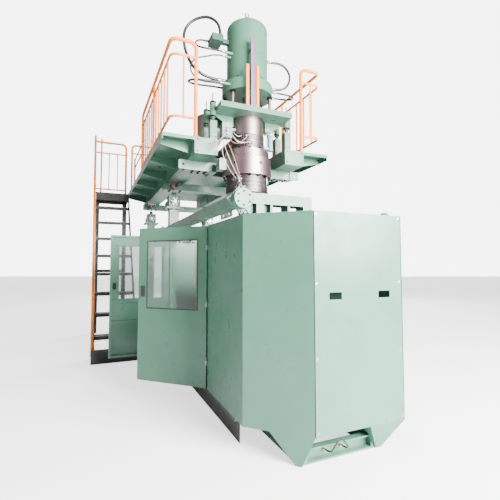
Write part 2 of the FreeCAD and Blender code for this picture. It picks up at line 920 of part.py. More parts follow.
def jack_screws():
    """Lifting screws with their square end plates, bolted under the lift beams."""
    screws = []
    under = "deck_top - girder_height"
    for x, y in jack_places():
        screw = rod("z", (x, y), "jack_screw_radius", ("jack_post_top - 320", f"{under} - 30"))
        collar = rod("z", (x, y), "42", (f"{under} - 90", f"{under} - 30"))
        end_plate = block((f"{x} - 85", f"{x} + 85"), (f"{y} - 55", f"{y} + 55"), (f"{under} - 30", under))
        screws.append(fuse(screw, collar, end_plate))
    return keep("jack_screws", group(*screws))


# ---- platform -----------------------------------------------------------------------------------------


def girder(label, side):
    """A hollow box girder with a closed near end."""
    low, high = ("girder_inner", "girder_outer") if side > 0 else ("-girder_outer", "-girder_inner")
    under = "deck_top - girder_height"
    shell = block((low, high), ("platform_front", "platform_rear"), (under, "deck_top"))
    hollow = block(
        (f"{low} + 10", f"{high} - 10"),
        ("platform_front + 10", "platform_rear + 1"),
        (f"{under} + 10", "deck_top - 10"),
    )
    return keep(label, cut(shell, hollow))


def cross_beams():
    """Beams under the girders: one around the back of the head with its end lugs, and two on the jacks."""
    under = "deck_top - girder_height"
    z = (f"{under} - beam_height", under)
    beams = []
    for side in (-1, 1):
        def span(low, high):
            return (f"{low}", f"{high}") if side > 0 else (f"-({high})", f"-({low})")

        arm = block(span("340", "745"), ("150", "290"), z)
        lug = block(span("690", "825"), ("135", "150"), z)
        eye = rod("y", (f"{side} * 770", f"{under} - beam_height / 2"), "16", ("134", "151"))
        side_plate = block(span("340", "400"), ("290", "470"), z)
        beams.append(cut(fuse(arm, lug, side_plate), eye))
    back = block(("-400", "400"), ("370", "470"), z)
    carrier = fuse(*beams, back)
    lifts = [
        block(("-(girder_outer + 45)", "girder_outer + 45"), (f"{y} + 55", f"{y} + 205"), z)
        for y in ("jack_front_y", "jack_rear_y")
    ]
    return keep("cross_beams", group(carrier, *lifts))


def walkway(side):
    """Chequer plate outside a girder, with its folded edge and the brackets under it."""
    def span(low, high):
        return (low, high) if side > 0 else (f"-({high})", f"-({low})")

    y = ("platform_front", "platform_rear")
    plate_z = ("deck_top - deck_gauge", "deck_top")
    parts = [
        block(span("girder_outer", "deck_edge"), y, plate_z),
        block(span("deck_edge - 8", "deck_edge"), y, ("deck_top - edge_depth", "deck_top")),
        block(
            span("girder_outer", "deck_edge"),
            ("platform_front", "platform_front + 8"),
            ("deck_top - 38", "deck_top"),
        ),
    ]
    for step in range(6):
        middle = f"platform_front + 190 + {step} * (platform_rear - platform_front - 400) / 5"
        outline = [
            (f"{side} * girder_outer", "deck_top - deck_gauge"),
            (f"{side} * girder_outer", "deck_top - 150"),
            (f"{side} * (deck_edge - 8)", "deck_top - edge_depth"),
            (f"{side} * (deck_edge - 8)", "deck_top - deck_gauge"),
        ]
        parts.append(plate("XZ", [outline], f"{middle} - 5", f"{middle} + 5"))
    return fuse(*parts)


def deck_plates():
    middle = block(
        ("-girder_inner", "girder_inner"),
        ("deck_front", "platform_rear"),
        ("deck_top - deck_gauge", "deck_top"),
    )
    return keep("deck_plates", group(walkway(-1), middle, walkway(1)))


def balusters(start, end, low, high):
    """Uprights between two plan points, at no more than the pitch."""
    run = Vector(end[0] - start[0], end[1] - start[1], 0)
    count = max(1, math.ceil(run.Length / value("baluster_pitch")))
    spots = [Vector(start[0], start[1], low) + run * (i / count) for i in range(1, count)]
    return [stick(spot, spot + Vector(0, 0, high - low), value("baluster_radius")) for spot in spots]


def bent_bar(stops, height, radius, bend):
    """One bent bar through plan points at one height."""
    return tube([Vector(x, y, height) for x, y in stops], radius, [bend] * (len(stops) - 2))[0]


def guard_rail(stops):
    """A tube guard rail: top rail that turns down into its end posts, mid and bottom rails, balusters."""
    deck = value("deck_top")
    top, mid, low = (deck + value(name) for name in ("guard_height", "mid_rail", "bottom_rail"))
    thick = value("tube_radius")
    bend = 4 * thick
    route = [Vector(*stops[0], deck), *[Vector(x, y, top) for x, y in stops], Vector(*stops[-1], deck)]
    frame, _ = tube(route, thick, [bend] * (len(route) - 2))
    parts = [bent_bar(stops, height, thick * 0.7, bend) for height in (mid, low)]
    for start, end in zip(stops, stops[1:]):
        length = math.hypot(end[0] - start[0], end[1] - start[1])
        parts += balusters(start, end, low, mid)
        posts = int(length // value("post_pitch"))
        for i in range(1, posts + 1):
            share = i / (posts + 1)
            x = start[0] + (end[0] - start[0]) * share
            y = start[1] + (end[1] - start[1]) * share
            parts.append(stick(Vector(x, y, deck), Vector(x, y, top), thick * 0.8))
    return frame.multiFuse(parts)


def panels(rail, *seams):
    """A rail parted into flat runs at places along Y, each a solid of its own."""
    box = rail.BoundBox
    edges = [box.YMin - 1, *seams, box.YMax + 1]
    runs = []
    for near, far in zip(edges, edges[1:]):
        slab = Part.makeBox(
            box.XLength + 2,
            far - near,
            box.ZLength + 2,
            Vector(box.XMin - 1, near, box.ZMin - 1),
        )
        runs += rail.common(slab).Solids
    return Part.makeCompound(runs)


def link_bars():
    """Two slim bars that close the gap in the left guard rail, out to a post by the stair landing."""
    x, near, far = -value("guard_x"), value("gate_front"), value("landing_front") - 10
    deck = value("deck_top")
    thick = value("tube_radius")
    slim = value("baluster_radius") + 1
    bars = [stick(Vector(x, near, deck + rise), Vector(x, far, deck + rise), slim) for rise in (465, 625)]
    bars.append(stick(Vector(x, far, deck), Vector(x, far, deck + 660), thick * 0.8))
    return bars


def platform_rails():
    edge, post = value("guard_x"), value("girder_outer") - 15
    front, rear = value("platform_front") + 30, value("platform_rear") - 40
    left = guard_rail([(-post, front), (-edge, front), (-edge, value("gate_front"))])
    right = guard_rail([(post, front), (edge, front), (edge, rear), (-edge, rear)])
    seam = front + 5 * value("tube_radius")
    shaped("guard_rail_left", panels(left.multiFuse(link_bars()), seam))
    shaped("guard_rail_right", panels(right, seam, rear - 5 * value("tube_radius")))


# ---- stair --------------------------------------------------------------------------------------------


def stair_stringers():
    """Sloping side plates of the stair."""
    nose, heel = "(stair_foot_y - 20)", "(stair_foot_y + 210)"
    outline = [
        (nose, "0"),
        (heel, "0"),
        ("landing_front", f"(landing_front - {heel}) * riser / going"),
        ("landing_front", "landing_top"),
        (f"{nose} + landing_top * going / riser", "landing_top"),
    ]
    outer = plate("YZ", [outline], "stair_outer", "stair_outer + stringer_gauge")
    inner = plate("YZ", [outline], "stair_inner - stringer_gauge", "stair_inner")
    return keep("stair_stringers", group(outer, inner))


def stair_treads():
    """Folded treads between the stringers, and the plinth that is the first step."""
    x = ("stair_outer + stringer_gauge", "stair_inner - stringer_gauge")
    steps = []
    for i in range(1, 9):
        front, top = f"(stair_foot_y + {i} * going)", f"{i} * riser"
        flat = block(x, (front, f"{front} + tread_depth"), (f"{top} - tread_thick", top))
        lip = block(x, (front, f"{front} + 6"), (f"{top} - 50", top))
        steps.append(fuse(flat, lip))
    plinth = block(
        ("stair_outer - 36", "stair_inner + 18"), ("stair_foot_y - 155", "stair_foot_y - 20"), ("0", "170")
    )
    return keep("stair_treads", group(plinth, *steps))


def stair_landing():
    """The top landing, a shallow box frame on two legs at the rear."""
    top, depth = "landing_top", "150"
    slab = block(("stair_outer", "stair_inner"), ("landing_front", "landing_rear"), (f"{top} - {depth}", top))
    hollow = block(
        ("stair_outer + 12", "stair_inner - 12"),
        ("landing_front + 12", "landing_rear - 12"),
        (f"{top} - {depth} - 1", f"{top} - 8"),
    )
    legs = [
        block(x, ("landing_rear - 80", "landing_rear"), ("0", f"{top} - {depth} + 20"))
        for x in (("stair_outer", "stair_outer + 80"), ("stair_inner - 80", "stair_inner"))
    ]
    tie = block(
        ("stair_outer + 80", "stair_inner - 80"),
        ("landing_rear - 60", "landing_rear - 20"),
        ("1200", "1260"),
    )
    return keep("stair_landing", fuse(cut(slab, hollow), *legs, tie))


def stair_rails():
    """The outer handrail of the stair on its brackets, run on into the guard at the back of the landing."""
    thick, slim = value("tube_radius"), value("baluster_radius")
    outer, inner = value("stair_outer"), value("stair_inner") - 24
    x = outer - thick
    foot, front = value("stair_foot_y") + 100, value("landing_front")
    rear, deck = value("landing_rear") - 30, value("landing_top")
    top = deck + value("landing_guard")
    slope = value("riser / going")
    rise = 1.75 * value("riser")
    low_end = 920
    points = [
        Vector(x, foot, rise - 480),
        Vector(x, foot, low_end),
        Vector(x, front, low_end + (front - foot) * slope),
        Vector(x, front + 90, top),
        Vector(x, rear, top),
        Vector(inner, rear, top),
        Vector(inner, rear, deck),
    ]
    frame, _ = tube(points, thick, [90, 90, 60, 90, 90])
    parts = []
    for share in (0, 0.33, 0.66, 1):
        y = foot + (front - foot) * share
        low = (y - foot) * slope + 60
        if share:
            parts.append(stick(Vector(x, y, low), Vector(x, y, low_end + (y - foot) * slope), thick * 0.8))
        parts.append(Part.makeBox(thick, 30, 60, Vector(x, y - 15, low + 30)))
    for height in (deck + 150, deck + 900):
        parts.append(stick(Vector(x, rear, height), Vector(inner, rear, height), thick * 0.7))
    tall = Vector(outer + 100, rear, deck)
    parts.append(stick(tall, Vector(tall.x, rear, top + 80), thick * 0.8))
    parts.append(stick(Vector(x, rear, deck + 60), Vector(x, rear, top), thick * 0.8))
    for share in (0.45, 0.72):
        spot = Vector(x + (inner - x) * share, rear, deck + 150)
        parts.append(stick(spot, spot + Vector(0, 0, 750), slim))
    return shaped("stair_rails", frame.multiFuse(parts))


# ---- die head -----------------------------------------------------------------------------------------


def head_bridge():
    """The plate under the injection cylinder, with ribs and column bosses. The head hangs from it."""
    low, high = "bridge_low", "bridge_low + bridge_thick"
    outline = [
        ("-bridge_half_x", "-bridge_half_y"),
        ("bridge_half_x", "-bridge_half_y"),
        ("bridge_half_x", "bridge_half_y"),
        ("-bridge_half_x", "bridge_half_y"),
    ]
    slab = plate("XY", [outline], low, high, [("0", "0", "head_bore + 5")])
    bosses, ribs, bores = [], [], []
    for side in (-1, 1):
        for end in (-1, 1):
            spot = (f"{side} * column_x", f"{end} * column_y")
            foot, head = f"{low} - column_boss_low", f"{high} + column_boss_high"
            bosses.append(rod("z", spot, "column_boss", (foot, head)))
            bores.append(rod("z", spot, "column_rod + slide_clearance", (f"{foot} - 1", f"{head} + 1")))
        rib = [
            (f"{side} * (head_upper_radius + 8)", low),
            (f"{side} * (head_upper_radius + 8)", f"{low} - 120"),
            (f"{side} * (head_upper_radius + 60)", f"{low} - 120"),
            (f"{side} * (bridge_half_x - 12)", f"{low} - 18"),
            (f"{side} * (bridge_half_x - 12)", low),
        ]
        for y in ("-70", "70"):
            ribs.append(plate("XZ", [rib], f"{y} - 10", f"{y} + 10"))
    return keep("head_bridge", cut(fuse(slab, *bosses, *ribs), *bores))


def head_columns():
    """Adjusting columns on the girders: a square foot, a threaded rod, and nuts under the bridge's bosses."""
    columns = []
    foot_top = "deck_top + column_foot_height"
    boss_low = "bridge_low - column_boss_low"
    boss_high = "bridge_low + bridge_thick + column_boss_high"
    for side in (-1, 1):
        for end in (-1, 1):
            x, y = f"{side} * column_x", f"{end} * column_y"
            foot = block(
                (f"{x} - column_foot_half", f"{x} + column_foot_half"),
                (f"{y} - column_foot_half", f"{y} + column_foot_half"),
                ("deck_top", foot_top),
            )
            top = f"{boss_high} + column_thread"
            screw = rod("z", (x, y), "column_rod", (foot_top, top))
            stud = rod("z", (x, y), "stud_radius", (top, f"{top} + stud_height"))
            nuts = [
                rod("z", (x, y), "column_nut", (f"{boss_low} - column_nut_low", boss_low)),
                rod("z", (x, y), "column_nut", (boss_high, f"{boss_high} + column_nut_high")),
            ]
            columns.append(fuse(foot, screw, stud, *nuts))
    return keep("head_columns", group(*columns))


def head_upper_body():
    """The accumulator body, with the side port that the extruder feeds."""
    profile = [
        ("head_bore + fit_clearance", "upper_low + 40"),
        ("head_bore + fit_clearance", "bridge_low"),
        ("head_upper_radius", "bridge_low"),
        ("head_upper_radius", "upper_low"),
        ("mandrel_rod + 30", "upper_low"),
        ("mandrel_rod + 30", "upper_low + 40"),
    ]
    port = rod("y", ("0", "screw_z"), "screw_radius", ("0", "head_upper_radius + 1"))
    return keep("head_upper_body", cut(turned(profile), port))


def head_clamp_rings():
    """Bolted rings around the neck of the head: a dark band, the large ring and the small ring."""
    bore = "head_neck + slide_clearance"
    profile = [
        (bore, "band_low"),
        ("band_radius", "band_low"),
        ("band_radius", "big_ring_low"),
        ("big_ring_radius", "big_ring_low"),
        ("big_ring_radius", "ring_low"),
        ("ring_radius", "ring_low"),
        ("ring_radius", "upper_low"),
        (bore, "upper_low"),
    ]
    return keep("head_clamp_rings", turned(profile))


def head_lower_body():
    """The lower body with its neck, the die at the bottom and the guide bore of the mandrel."""
    guide = "mandrel_rod + fit_clearance"
    profile = [
        (guide, "big_ring_low"),
        (guide, "upper_low"),
        ("head_neck", "upper_low"),
        ("head_neck", "band_low"),
        ("lower_radius", "band_low"),
        ("lower_radius", "lower_bottom"),
        ("die_radius", "lower_bottom"),
        ("die_radius", "lower_bottom - 70"),
        ("die_bore", "lower_bottom - 70"),
        ("die_bore", "lower_bottom - 20"),
        ("die_bore + 20", "lower_bottom + 60"),
        ("die_bore + 20", "big_ring_low"),
    ]
    channels = [
        rod(
            "z",
            (f"(mandrel_rod + 17) * cos({angle} deg)", f"(mandrel_rod + 17) * sin({angle} deg)"),
            "12",
            ("big_ring_low - 1", "upper_low + 1"),
        )
        for angle in range(0, 360, 60)
    ]
    return keep("head_lower_body", cut(turned(profile), *channels))


def die_mandrel():
    """The core rod whose cone sets the gap that the parison leaves through."""
    tip = "lower_bottom - 70"
    profile = [
        ("0", tip),
        ("die_bore - 9", tip),
        ("die_bore - 9", f"{tip} + 45"),
        ("mandrel_rod", f"{tip} + 150"),
        ("mandrel_rod", "upper_low + 80"),
        ("0", "upper_low + 80"),
    ]
    return keep("die_mandrel", turned(profile))


def injection_ram():
    """The ram in the head, its rod and the hydraulic piston, as one column that moves together."""
    low, shoulder = "(upper_low + 52)", "(flange_low - ram_stroke - 18)"
    piston_low = "(flange_top + 60)"
    well = "mandrel_rod + 12"
    piston = "cylinder_bore - fit_clearance"
    profile = [
        ("0", f"{low} + 130"),
        (well, f"{low} + 130"),
        (well, low),
        ("head_bore", low),
        ("head_bore", shoulder),
        ("ram_rod", shoulder),
        ("ram_rod", piston_low),
        (piston, piston_low),
        (piston, f"{piston_low} + 90"),
        ("0", f"{piston_low} + 90"),
    ]
    return keep("injection_ram", turned(profile))


def arc_points(radius, low, high, count):
    """Points of a dome's outline, from the shoulder up to near the axis."""
    points = []
    for i in range(1, count):
        angle = 90 * i / count
        points.append(
            (f"({radius}) * cos({angle} deg)", f"({low}) + (({high}) - ({low})) * sin({angle} deg)")
        )
    return points


# side, y, z, radius and reach of each port boss on the injection cylinder
PORTS = (
    (-1, "-90", "3928", "18", "324"),
    (-1, "-20", "3602", "24", "357"),
    (-1, "-60", "3894", "16", "312"),
    (-1, "-30", "3552", "16", "339"),
    (-1, "-130", "3518", "18", "362"),
    (-1, "160", "3604", "18", "260"),
    (1, "-30", "3974", "20", "277"),
    (1, "-30", "3624", "20", "330"),
    (1, "-130", "3530", "18", "305"),
    (1, "155", "3604", "18", "419"),
)


def injection_cylinder():
    """The hydraulic injection cylinder: thick flange, plain barrel, domed cap and hose ports."""
    gland = "ram_rod + fit_clearance"
    profile = [
        (gland, "flange_low"),
        ("cylinder_flange", "flange_low"),
        ("cylinder_flange", "flange_top"),
        ("cylinder_radius", "flange_top"),
        ("cylinder_radius", "shoulder_z"),
        *arc_points("cylinder_radius", "shoulder_z", "dome_z", 8),
        ("0", "dome_z"),
        ("0", "shoulder_z - 60"),
        ("cylinder_bore", "shoulder_z - 60"),
        ("cylinder_bore", "flange_top + 20"),
        (gland, "flange_top + 20"),
    ]
    ports = []
    for side, y, z, radius, reach in PORTS:
        root = f"sqrt((cylinder_bore + 18) ^ 2 - ({y}) ^ 2)"
        ends = (f"{side} * {reach}", f"{side} * {root}")
        ports.append(rod("x", (y, z), radius, ends if side < 0 else ends[::-1]))
    return keep("injection_cylinder", fuse(turned(profile), *ports))


def lifting_eye():
    """An eye bolt in the middle of the dome."""
    ring = doc.addObject("Part::Torus", "ring")
    ring.setExpression("Radius1", bound("eye_radius"))
    ring.setExpression("Radius2", bound("eye_bar"))
    ring.Placement = Placement(Vector(), Rotation(Vector(1, 0, 0), 90))
    place(ring, "0", "0", "eye_z")
    shank = rod("z", ("0", "0"), "eye_shank", ("dome_z", "eye_z - eye_foot"))
    return keep("lifting_eye", fuse(ring, shank))


def injection_tie_rods():
    """Six steel rods that hold the injection cylinder above the bridge."""
    rods = []
    for i in range(6):
        angle = 60 * i + 30
        spot = (f"tie_circle * cos({angle} deg)", f"tie_circle * sin({angle} deg)")
        rods.append(rod("z", spot, "tie_rod", ("bridge_low + bridge_thick", "flange_low")))
    return keep("injection_tie_rods", group(*rods))


def shot_scale_bar():
    """The upright scale that shows the shot, held to the barrel by a bracket near its top."""
    y = ("-bridge_half_y + 2", "-bridge_half_y + 20")
    bar = block(("-90", "-30"), y, ("bridge_low + bridge_thick", "scale_bar_top"))
    bracket = block(
        ("-80", "-40"),
        (y[1], "-cylinder_radius + 8"),
        ("scale_bar_top - 150", "scale_bar_top - 110"),
    )
    barrel = rod("z", ("0", "0"), "cylinder_radius + slide_clearance", ("flange_top", "shoulder_z"))
    return keep("shot_scale_bar", cut(fuse(bar, bracket), barrel))


# ---- extruder -----------------------------------------------------------------------------------------


def extruder_barrel():
    """The barrel behind the head, with a square feed throat under the hopper."""
    barrel = rod("y", ("0", "screw_z"), "barrel_radius", ("head_upper_radius - 20", "barrel_end"))
    flange = rod("y", ("0", "screw_z"), "barrel_radius + 45", ("barrel_end - 40", "barrel_end"))
    throat = block(("-85", "85"), ("hopper_y - 85", "hopper_y + 85"), ("screw_z", "screw_z + 140"))
    bore = rod("y", ("0", "screw_z"), "screw_radius + fit_clearance", ("0", "barrel_end + 1"))
    feed = rod("z", ("0", "hopper_y"), "32", ("screw_z", "screw_z + 141"))
    head = rod("z", ("0", "0"), "head_upper_radius + slide_clearance", ("2700", "3300"))
    return keep("extruder_barrel", cut(fuse(barrel, flange, throat), bore, feed, head))


def extruder_screw():
    """The plasticising screw: a core with a helical flight, a pointed tip and a plain drive shank."""
    radius, core = value("screw_radius"), value("screw_radius") * 0.68
    start, end = value("head_upper_radius") + 60, value("barrel_end")
    pitch = 2 * radius
    shaft = Part.makeCylinder(core, end - start)
    tip = Part.makeCone(0.01, core, 50, Vector(0, 0, -50))
    shank = Part.makeCylinder(radius, 60, Vector(0, 0, end - start - 60))
    helix = Part.makeHelix(pitch, end - start - 140, core)
    corners = [Vector(core - 1, 0, 10), Vector(radius, 0, 10), Vector(radius, 0, 18), Vector(core - 1, 0, 18)]
    profile = Part.makePolygon([*corners, corners[0]])
    flight = Part.Wire(helix.Edges).makePipeShell([profile], True, True)
    screw = shaft.multiFuse([tip, shank, flight])
    spot = Placement(Vector(0, start, value("screw_z")), TURNS["y"])
    return shaped("extruder_screw", screw, spot)


def extruder_gearbox():
    """The reduction gearbox on its foot, behind the barrel."""
    low = "barrel_end"
    case = block(("-220", "220"), (low, f"{low} + 420"), ("deck_top + 30", "deck_top + 480"))
    foot = block(("-260", "260"), (low, f"{low} + 420"), ("deck_top", "deck_top + 30"))
    collar = rod("y", ("0", "screw_z + 80"), "120", (f"{low} + 420", f"{low} + 470"))
    return keep("extruder_gearbox", fuse(case, foot, collar))


def extruder_motor():
    """The drive motor, flanged to the gearbox and held on a foot."""
    low = "barrel_end + 470"
    frame = rod("y", ("0", "screw_z + 80"), "190", (low, f"{low} + 620"))
    fan_cover = rod("y", ("0", "screw_z + 80"), "175", (f"{low} + 620", f"{low} + 760"))
    foot = block(("-170", "170"), (f"{low} + 80", f"{low} + 540"), ("deck_top", "screw_z - 20"))
    box = block(("-80", "80"), (f"{low} + 200", f"{low} + 400"), ("screw_z + 240", "screw_z + 340"))
    return keep("extruder_motor", fuse(frame, fan_cover, foot, box))


def feed_hopper():
    """The open hopper that stands on the feed throat."""
    base, wall = "(screw_z + 140)", "4"
    cone_top = "(hopper_top - 280)"
    profile = [
        ("32", base),
        ("90", base),
        ("90", f"{base} + 14"),
        ("60", f"{base} + 14"),
        ("60", f"{base} + 60"),
        ("hopper_radius", cone_top),
        ("hopper_radius", "hopper_top"),
        (f"hopper_radius - {wall}", "hopper_top"),
        (f"hopper_radius - {wall}", f"{cone_top} + 2"),
        (f"60 - {wall}", f"{base} + 62"),
        (f"60 - {wall}", f"{base} + 30"),
        ("32", f"{base} + 30"),
    ]
    return keep("feed_hopper", place(turned(profile), "0", "hopper_y", "0"))


# ---- hydraulic hoses ----------------------------------------------------------------------------------


def valve_block():
    """A steel manifold hung on the big loop's line beside the barrel, with a port on each open side."""
    body = block(("-485", "-345"), ("-90", "106"), ("4060", "4141"))
    link = block(("-345", "-cylinder_radius + 10"), ("-30", "30"), ("4080", "4130"))
    barrel = rod("z", ("0", "0"), "cylinder_radius + slide_clearance", ("flange_top", "shoulder_z"))
    return keep("valve_block", cut(fuse(body, link), barrel))


HOSES = {
    # name: radius, then the points of the route
    "hose_upper_loop": (
        18,
        [
            (-371, -40, 4141), (-371, -40, 4221), (-404, -14, 4338), (-498, 83, 4442), (-637, 180, 4429),
            (-749, 222, 4307), (-776, 180, 4112), (-777, 11, 3851), (-708, -40, 3677), (-584, -53, 3600),
            (-445, -20, 3602), (-357, -20, 3602),
        ],
    ),
    "hose_valve_link": (
        11,
        [
            (-324, -90, 3928), (-406, -90, 3928), (-514, -148, 3886), (-608, -136, 3887), (-672, -81, 3925),
            (-685, -17, 3999), (-620, 58, 4091), (-553, 82, 4120), (-485, 82, 4120),
        ],
    ),
    "hose_thin": (
        9.5,
        [
            (-312, -60, 3894), (-421, -60, 3894), (-564, -84, 3821), (-679, -74, 3785), (-754, -72, 3690),
            (-728, -62, 3580), (-604, -42, 3530), (-446, -30, 3552), (-339, -30, 3552),
        ],
    ),
    "hose_lower_loop": (
        13,
        [
            (-362, -130, 3518), (-464, -130, 3518), (-608, -150, 3490), (-716, -88, 3512), (-758, 50, 3545),
            (-661, 170, 3588), (-513, 182, 3601), (-377, 160, 3604), (-260, 160, 3604),
        ],
    ),
    "hose_right_upper": (
        15,
        [
            (277, -30, 3974), (346, -30, 3974), (456, -42, 3984), (552, -51, 3925), (595, -54, 3830),
            (575, -50, 3722), (497, -42, 3643), (395, -30, 3624), (330, -30, 3624),
        ],
    ),
    "hose_right_lower": (
        13,
        [
            (305, -130, 3530), (372, -130, 3530), (467, -165, 3517), (587, -130, 3525), (649, -23, 3547),
            (625, 90, 3584), (530, 155, 3604), (419, 155, 3604),
        ],
    ),
}


def hose(name, radius, route):
    """One bent hose; prints its tightest bend and how its volume compares with section times length."""
    points = [Vector(*spot) for spot in route]
    radii = []
    for before, corner, after in zip(points, points[1:], points[2:]):
        turn = (corner - before).getAngle(after - corner)
        run = min((corner - before).Length, (after - corner).Length)
        radii.append(0.45 * run / math.tan(turn / 2))
    shape, length = tube(points, radius, radii)
    share = shape.Volume / (math.pi * radius**2 * length)
    print(f"{name}: length {length:.0f}, tightest bend {min(radii):.0f}, volume share {share:.3f}")
    return shaped(name, shape)


# ---- the whole machine --------------------------------------------------------------------------------


def build_clamp():
    bed_frame()
    kick_strips()
    end_panels()
    corner_covers()
    side_panel_right()
    top_covers()
    tie_bars()
    tie_end_fittings()
    guide_rails()
    clamp_cylinders()
    door_frame()
    hinge_pins()
    blow_unit_base()
    blow_pin()
    for word, end in (("front", -1), ("rear", 1)):
        end_frame(f"end_frame_{word}", end)
        platen(f"platen_{word}", end)
        clamp_rod(f"clamp_rod_{word}", end)
        door(f"door_{word}", end)
        door_window(f"door_window_{word}", end)


def build_platform():
    jack_posts()
    jack_gearboxes()
    jack_screws()
    girder("girder_left", -1)
    girder("girder_right", 1)
    cross_beams()
    deck_plates()
    platform_rails()
    stair_stringers()
    stair_treads()
    stair_landing()
    stair_rails()


def build_head():
    head_bridge()
    head_columns()
    head_upper_body()
    head_clamp_rings()
    head_lower_body()
    die_mandrel()
    injection_ram()
    injection_cylinder()
    lifting_eye()
    injection_tie_rods()
    shot_scale_bar()
    valve_block()
    extruder_barrel()
    extruder_screw()
    extruder_gearbox()
    extruder_motor()
    feed_hopper()
    for name, (radius, route) in HOSES.items():
        hose(name, radius, route)


def check_all():
    """Stops the run if any object failed or any sub-part has no valid shape."""
    failed = [item.Name for item in doc.Objects if {"Invalid", "Error"} & set(item.State)]
    bad = [item.Label for item in SUBPARTS if item.Shape.isNull() or not item.Shape.isValid()]
    if failed or bad:
        raise RuntimeError(f"failed objects {failed}, bad sub-parts {bad}")


def export_all():
    os.makedirs("parts", exist_ok=True)
    for item in SUBPARTS:
        item.Shape.exportStep(f"parts/{item.Label}.step")
        print(f"{item.Label}: {len(item.Shape.Solids)} solids, volume {item.Shape.Volume / 1e6:.3f} litres")


build_clamp()
build_platform()
build_head()
doc.recompute()
check_all()
export_all()
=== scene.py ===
import json
import math

import bmesh
import bpy
from bpy.props import FloatProperty, FloatVectorProperty, PointerProperty
from mathutils import Matrix, Vector

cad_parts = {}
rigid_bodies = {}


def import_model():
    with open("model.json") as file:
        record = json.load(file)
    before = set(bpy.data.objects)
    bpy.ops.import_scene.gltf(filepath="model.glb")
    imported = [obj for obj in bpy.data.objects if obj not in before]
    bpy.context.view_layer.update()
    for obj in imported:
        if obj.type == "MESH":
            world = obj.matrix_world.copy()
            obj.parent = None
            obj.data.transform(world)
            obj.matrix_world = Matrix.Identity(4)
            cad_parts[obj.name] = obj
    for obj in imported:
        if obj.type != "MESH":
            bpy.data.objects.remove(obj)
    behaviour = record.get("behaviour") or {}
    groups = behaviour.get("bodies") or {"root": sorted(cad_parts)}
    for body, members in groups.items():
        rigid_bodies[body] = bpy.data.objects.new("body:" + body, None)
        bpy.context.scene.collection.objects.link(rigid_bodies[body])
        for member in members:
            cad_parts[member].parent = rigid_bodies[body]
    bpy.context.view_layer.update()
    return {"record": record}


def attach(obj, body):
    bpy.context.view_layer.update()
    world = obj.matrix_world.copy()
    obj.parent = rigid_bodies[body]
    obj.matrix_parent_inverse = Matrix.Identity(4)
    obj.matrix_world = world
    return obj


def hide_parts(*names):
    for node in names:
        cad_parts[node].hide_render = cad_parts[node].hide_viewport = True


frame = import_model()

bl_info = {
    "name": "Blow moulding machine dressing",
    "version": (1, 0, 0),
    "blender": (4, 5, 0),
    "location": "View3D > Sidebar > Machine",
    "description": "Adds the paint, fastenings, heaters, hoses and wiring of a blow moulding machine",
    "category": "Object",
}

RIGHT, LEFT = (1, 0, 0), (-1, 0, 0)
AWAY, NEAR = (0, 1, 0), (0, -1, 0)
UP, DOWN = (0, 0, 1), (0, 0, -1)
CENTRE = (0, 0, 0)
ENDS = ((-1, "front"), (1, "rear"))


# ---- settings ----


def colour(name, description, value):
    return FloatVectorProperty(
        name=name, description=description, default=value, size=3, subtype="COLOR", min=0, max=1
    )


def length(name, description, value):
    return FloatProperty(name=name, description=description, default=value, unit="LENGTH", min=0)


def angle(name, description, degrees):
    return FloatProperty(
        name=name,
        description=description,
        default=math.radians(degrees),
        subtype="ANGLE",
        unit="ROTATION",
    )


class PaintSettings(bpy.types.PropertyGroup):
    mint: colour("Mint", "Enamel of covers, girders and cylinder", (0.058, 0.150, 0.100))
    shade: colour("Dark green", "Enamel of motors", (0.040, 0.090, 0.066))
    # On the skirting this dark is partly painted shade: the green ledges above the kick strips are painted
    # dark for the shade under the covers' lower edge.
    dark: colour("Dark", "Paint of stair and skirting", (0.030, 0.030, 0.028))
    orange: colour("Orange", "Enamel of the guard rails", (0.80, 0.19, 0.010))
    purple: colour("Scale bar", "Paint of the shot scale", (0.13, 0.075, 0.135))
    roughness: FloatProperty(name="Roughness", description="Enamel roughness", default=0.32, min=0.02, max=1)


class BoltSettings(bpy.types.PropertyGroup):
    small: length("Small", "Width across flats of cover screws", 0.012)
    medium: length("Medium", "Width across flats of flange bolts", 0.024)
    large: length("Large", "Width across flats of head and tie bolts", 0.036)


class HoseSettings(bpy.types.PropertyGroup):
    wire: length("Wire", "Diameter of sensor and heater wires", 0.007)


class StageSettings(bpy.types.PropertyGroup):
    camera: FloatVectorProperty(
        name="Camera",
        description="Camera position",
        default=(-1.77, -4.15, 1.36),
        size=3,
        subtype="XYZ",
        unit="LENGTH",
    )
    yaw: angle("Yaw", "Turn from +Y towards +X", 23.91)
    pitch: angle("Pitch", "Tilt above the horizon", 3.29)
    lens: FloatProperty(name="Lens", description="Focal length in millimetres", default=26.38, min=1)
    floor: length("Floor", "Half the width of the floor", 60.0)


# ---- materials ----


def new_material(name):
    material = bpy.data.materials.new(name)
    material.use_nodes = True
    return material, material.node_tree.nodes, material.node_tree.links


def noise(nodes, links, scale, detail=4.0, stretch=(1, 1, 1)):
    """Noise in object space, stretched along an axis if asked."""
    place = nodes.new("ShaderNodeTexCoord")
    mapping = nodes.new("ShaderNodeMapping")
    mapping.inputs["Scale"].default_value = stretch
    texture = nodes.new("ShaderNodeTexNoise")
    texture.inputs["Scale"].default_value = scale
    texture.inputs["Detail"].default_value = detail
    links.new(place.outputs["Object"], mapping.inputs["Vector"])
    links.new(mapping.outputs["Vector"], texture.inputs["Vector"])
    return texture.outputs["Fac"]


def ramp(nodes, links, source, stops):
    """A colour ramp with stops of (place, colour)."""
    node = nodes.new("ShaderNodeValToRGB")
    elements = node.color_ramp.elements
    while len(elements) < len(stops):
        elements.new(0.5)
    for element, (spot, tint) in zip(elements, stops):
        element.position = spot
        element.color = (*tint, 1)
    links.new(source, node.inputs["Fac"])
    return node.outputs["Color"]


